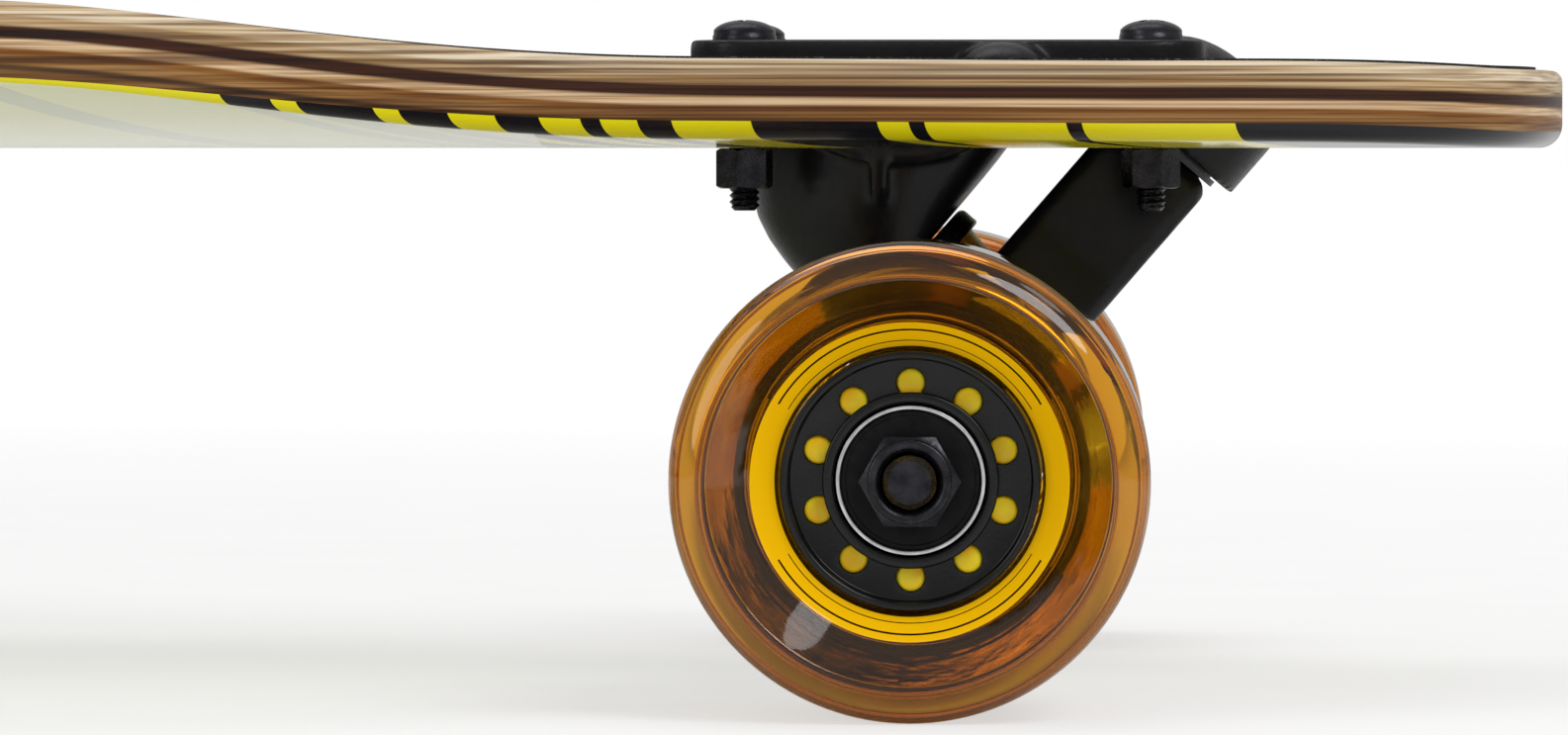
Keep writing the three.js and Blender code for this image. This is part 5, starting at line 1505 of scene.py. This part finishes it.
def floor_paper():
    """Matt white paper that fades to plain white away from the object, and is clear from beneath."""
    material, tree, shader = surface("matt white paper", Roughness=0.9)
    clouded(tree, shader, 40, 4, "F1F1F0", "F7F7F6")
    place = add(tree, "ShaderNodeTexCoord").outputs["Object"]
    far = add(tree, "ShaderNodeVectorMath", {0: place}, operation="LENGTH").outputs["Value"]
    fade = add(tree, SPREAD, {"Value": far, "From Min": 0.5, "From Max": 1.3, "To Min": 0.6})
    path = add(tree, "ShaderNodeLightPath")
    seen = add(tree, MATH, {0: path.outputs["Is Camera Ray"], 1: fade}, operation="MULTIPLY")
    glow = add(tree, "ShaderNodeEmission")
    both = add(tree, "ShaderNodeMixShader", {0: seen, 1: shader.outputs[0], 2: glow})
    back = add(tree, "ShaderNodeNewGeometry").outputs["Backfacing"]
    beneath = add(tree, MATH, {0: path.outputs["Is Camera Ray"], 1: back}, operation="MULTIPLY")
    nothing = add(tree, "ShaderNodeBsdfTransparent")
    paper = add(tree, "ShaderNodeMixShader", {0: beneath, 1: both.outputs[0], 2: nothing})
    tree.links.new(paper.outputs[0], tree.nodes["Material Output"].inputs["Surface"])
    return material


def surround(light):
    """A white surround that lights the object less than it shows."""
    world = bpy.data.worlds.new("white surround")
    bpy.context.scene.world = world
    world.use_nodes = True
    tree = world.node_tree
    path = add(tree, "ShaderNodeLightPath")
    rays = {0: path.outputs["Is Camera Ray"], 1: path.outputs["Is Transmission Ray"]}
    seen = add(tree, MATH, rays, operation="MAXIMUM")
    strength = add(tree, SPREAD, {"Value": seen, "To Min": light, "To Max": 1})
    shade = add(tree, "ShaderNodeBackground", {"Color": (1, 1, 1, 1), "Strength": strength})
    tree.links.new(shade.outputs[0], tree.nodes["World Output"].inputs["Surface"])


def softbox(name, place, aim, width, height, power):
    """An elliptical lamp in metres and watts, turned towards a point."""
    lamp = bpy.data.lights.new(name, "AREA")
    lamp.shape, lamp.size, lamp.size_y, lamp.energy = "ELLIPSE", width, height, power
    thing = bpy.data.objects.new(name, lamp)
    thing.location = place
    thing.rotation_euler = (Vector(aim) - Vector(place)).to_track_quat("-Z", "Y").to_euler()
    bpy.context.scene.collection.objects.link(thing)


def make_stage(settings):
    """The floor, the lamps, the surround and the camera."""
    shape = bmesh.new()
    bmesh.ops.create_circle(shape, cap_ends=True, radius=12, segments=96)
    floor = solid(shape, "floor", [floor_paper()])
    surround(settings.surround)
    aim = (AXLE["front"].x * MM, 0, 0.06)
    softbox("key lamp", (1.5, -1.5, 1.5), aim, 1.2, 1.2, settings.key)
    softbox("fill lamp", (-1.4, -1.8, 0.9), aim, 1.4, 1.4, settings.key * 0.45)
    softbox("top lamp", (0, 0.6, 2.0), (0, 0, 0), 2.2, 1.2, settings.key * 0.5)
    near_wheel = (AXLE["front"].x * MM, -0.13, WHEEL_RADIUS * MM)
    softbox("side lamp", (1.2, -0.34, 1.1), near_wheel, 0.3, 0.34, settings.key * 0.035)
    lens = bpy.data.cameras.new("camera")
    lens.lens, lens.clip_end = 205.6, 100
    camera = bpy.data.objects.new("camera", lens)
    camera.location = (0.4468, -1.42, 0.0834)
    camera.rotation_euler = Vector((-0.03507, 1, -0.02447)).to_track_quat("-Z", "Y").to_euler()
    scene = bpy.context.scene
    scene.collection.objects.link(camera)
    scene.camera = camera
    scene.view_settings.view_transform = "Standard"


# ------------------------------------------------------------------ operators and panel


class LONGBOARD_OT_deck(bpy.types.Operator):
    """Makes the deck"""

    bl_idname = "longboard.deck"
    bl_label = "Deck"

    def execute(self, context):
        make_deck(context.scene.longboard_board)
        return {"FINISHED"}


class LONGBOARD_OT_grip(bpy.types.Operator):
    """Makes the grip tape on the deck"""

    bl_idname = "longboard.grip"
    bl_label = "Grip tape"

    def execute(self, context):
        make_grip(context.scene.longboard_board)
        return {"FINISHED"}


class LONGBOARD_OT_baseplates(bpy.types.Operator):
    """Makes the baseplates of both trucks"""

    bl_idname = "longboard.baseplates"
    bl_label = "Baseplates"

    def execute(self, context):
        make_baseplates(context.scene.longboard_trucks)
        return {"FINISHED"}


class LONGBOARD_OT_hangers(bpy.types.Operator):
    """Makes the hangers of both trucks"""

    bl_idname = "longboard.hangers"
    bl_label = "Hangers"

    def execute(self, context):
        make_hangers(context.scene.longboard_trucks)
        return {"FINISHED"}


class LONGBOARD_OT_kingpins(bpy.types.Operator):
    """Makes the kingpins with their nuts and washers"""

    bl_idname = "longboard.kingpins"
    bl_label = "Kingpins"

    def execute(self, context):
        make_kingpins(context.scene.longboard_trucks)
        return {"FINISHED"}


class LONGBOARD_OT_bushings(bpy.types.Operator):
    """Makes the bushings and the pivot cups"""

    bl_idname = "longboard.bushings"
    bl_label = "Bushings and pivot cups"

    def execute(self, context):
        make_bushings()
        return {"FINISHED"}


class LONGBOARD_OT_bolts(bpy.types.Operator):
    """Makes the mounting bolts with their nuts"""

    bl_idname = "longboard.bolts"
    bl_label = "Mounting bolts"

    def execute(self, context):
        make_bolts(context.scene.longboard_trucks)
        return {"FINISHED"}


class LONGBOARD_OT_axles(bpy.types.Operator):
    """Makes the axles with their spacers, washers and nuts"""

    bl_idname = "longboard.axles"
    bl_label = "Axles"

    def execute(self, context):
        make_axles(context.scene.longboard_trucks)
        return {"FINISHED"}


class LONGBOARD_OT_wheels(bpy.types.Operator):
    """Makes the wheels with their cores and bearings"""

    bl_idname = "longboard.wheels"
    bl_label = "Wheels"

    def execute(self, context):
        make_wheels(context.scene.longboard_wheels)
        return {"FINISHED"}


class LONGBOARD_OT_stage(bpy.types.Operator):
    """Makes the floor, the lamps, the surround and the camera"""

    bl_idname = "longboard.stage"
    bl_label = "Stage"

    def execute(self, context):
        make_stage(context.scene.longboard_stage)
        return {"FINISHED"}


MAKERS = (
    LONGBOARD_OT_deck,
    LONGBOARD_OT_grip,
    LONGBOARD_OT_baseplates,
    LONGBOARD_OT_hangers,
    LONGBOARD_OT_kingpins,
    LONGBOARD_OT_bushings,
    LONGBOARD_OT_bolts,
    LONGBOARD_OT_axles,
    LONGBOARD_OT_wheels,
    LONGBOARD_OT_stage,
)
SETTINGS = {
    "longboard_board": BoardSettings,
    "longboard_trucks": TruckSettings,
    "longboard_wheels": WheelSettings,
    "longboard_stage": StageSettings,
}


class LONGBOARD_PT_panel(bpy.types.Panel):
    """The longboard's settings and the buttons that make its pieces"""

    bl_idname = "LONGBOARD_PT_panel"
    bl_label = "Longboard"
    bl_space_type = "VIEW_3D"
    bl_region_type = "UI"
    bl_category = "Longboard"

    def draw(self, context):
        layout = self.layout
        for name, group in SETTINGS.items():
            box = layout.box()
            for label in group.__annotations__:
                box.prop(getattr(context.scene, name), label)
        for maker in MAKERS:
            layout.operator(maker.bl_idname)


CLASSES = (*SETTINGS.values(), *MAKERS, LONGBOARD_PT_panel)


def register():
    """Registers the settings, the operators and the panel."""
    for each in CLASSES:
        bpy.utils.register_class(each)
    for name, group in SETTINGS.items():
        setattr(bpy.types.Scene, name, bpy.props.PointerProperty(type=group))


def unregister():
    """Takes away what register added."""
    for name in SETTINGS:
        delattr(bpy.types.Scene, name)
    for each in reversed(CLASSES):
        bpy.utils.unregister_class(each)


def main():
    """Makes the whole longboard and its stage."""
    register()
    bpy.ops.longboard.deck()
    bpy.ops.longboard.grip()
    bpy.ops.longboard.baseplates()
    bpy.ops.longboard.hangers()
    bpy.ops.longboard.kingpins()
    bpy.ops.longboard.bushings()
    bpy.ops.longboard.bolts()
    bpy.ops.longboard.axles()
    bpy.ops.longboard.wheels()
    bpy.ops.longboard.stage()


if __name__ == "__main__":
    main()
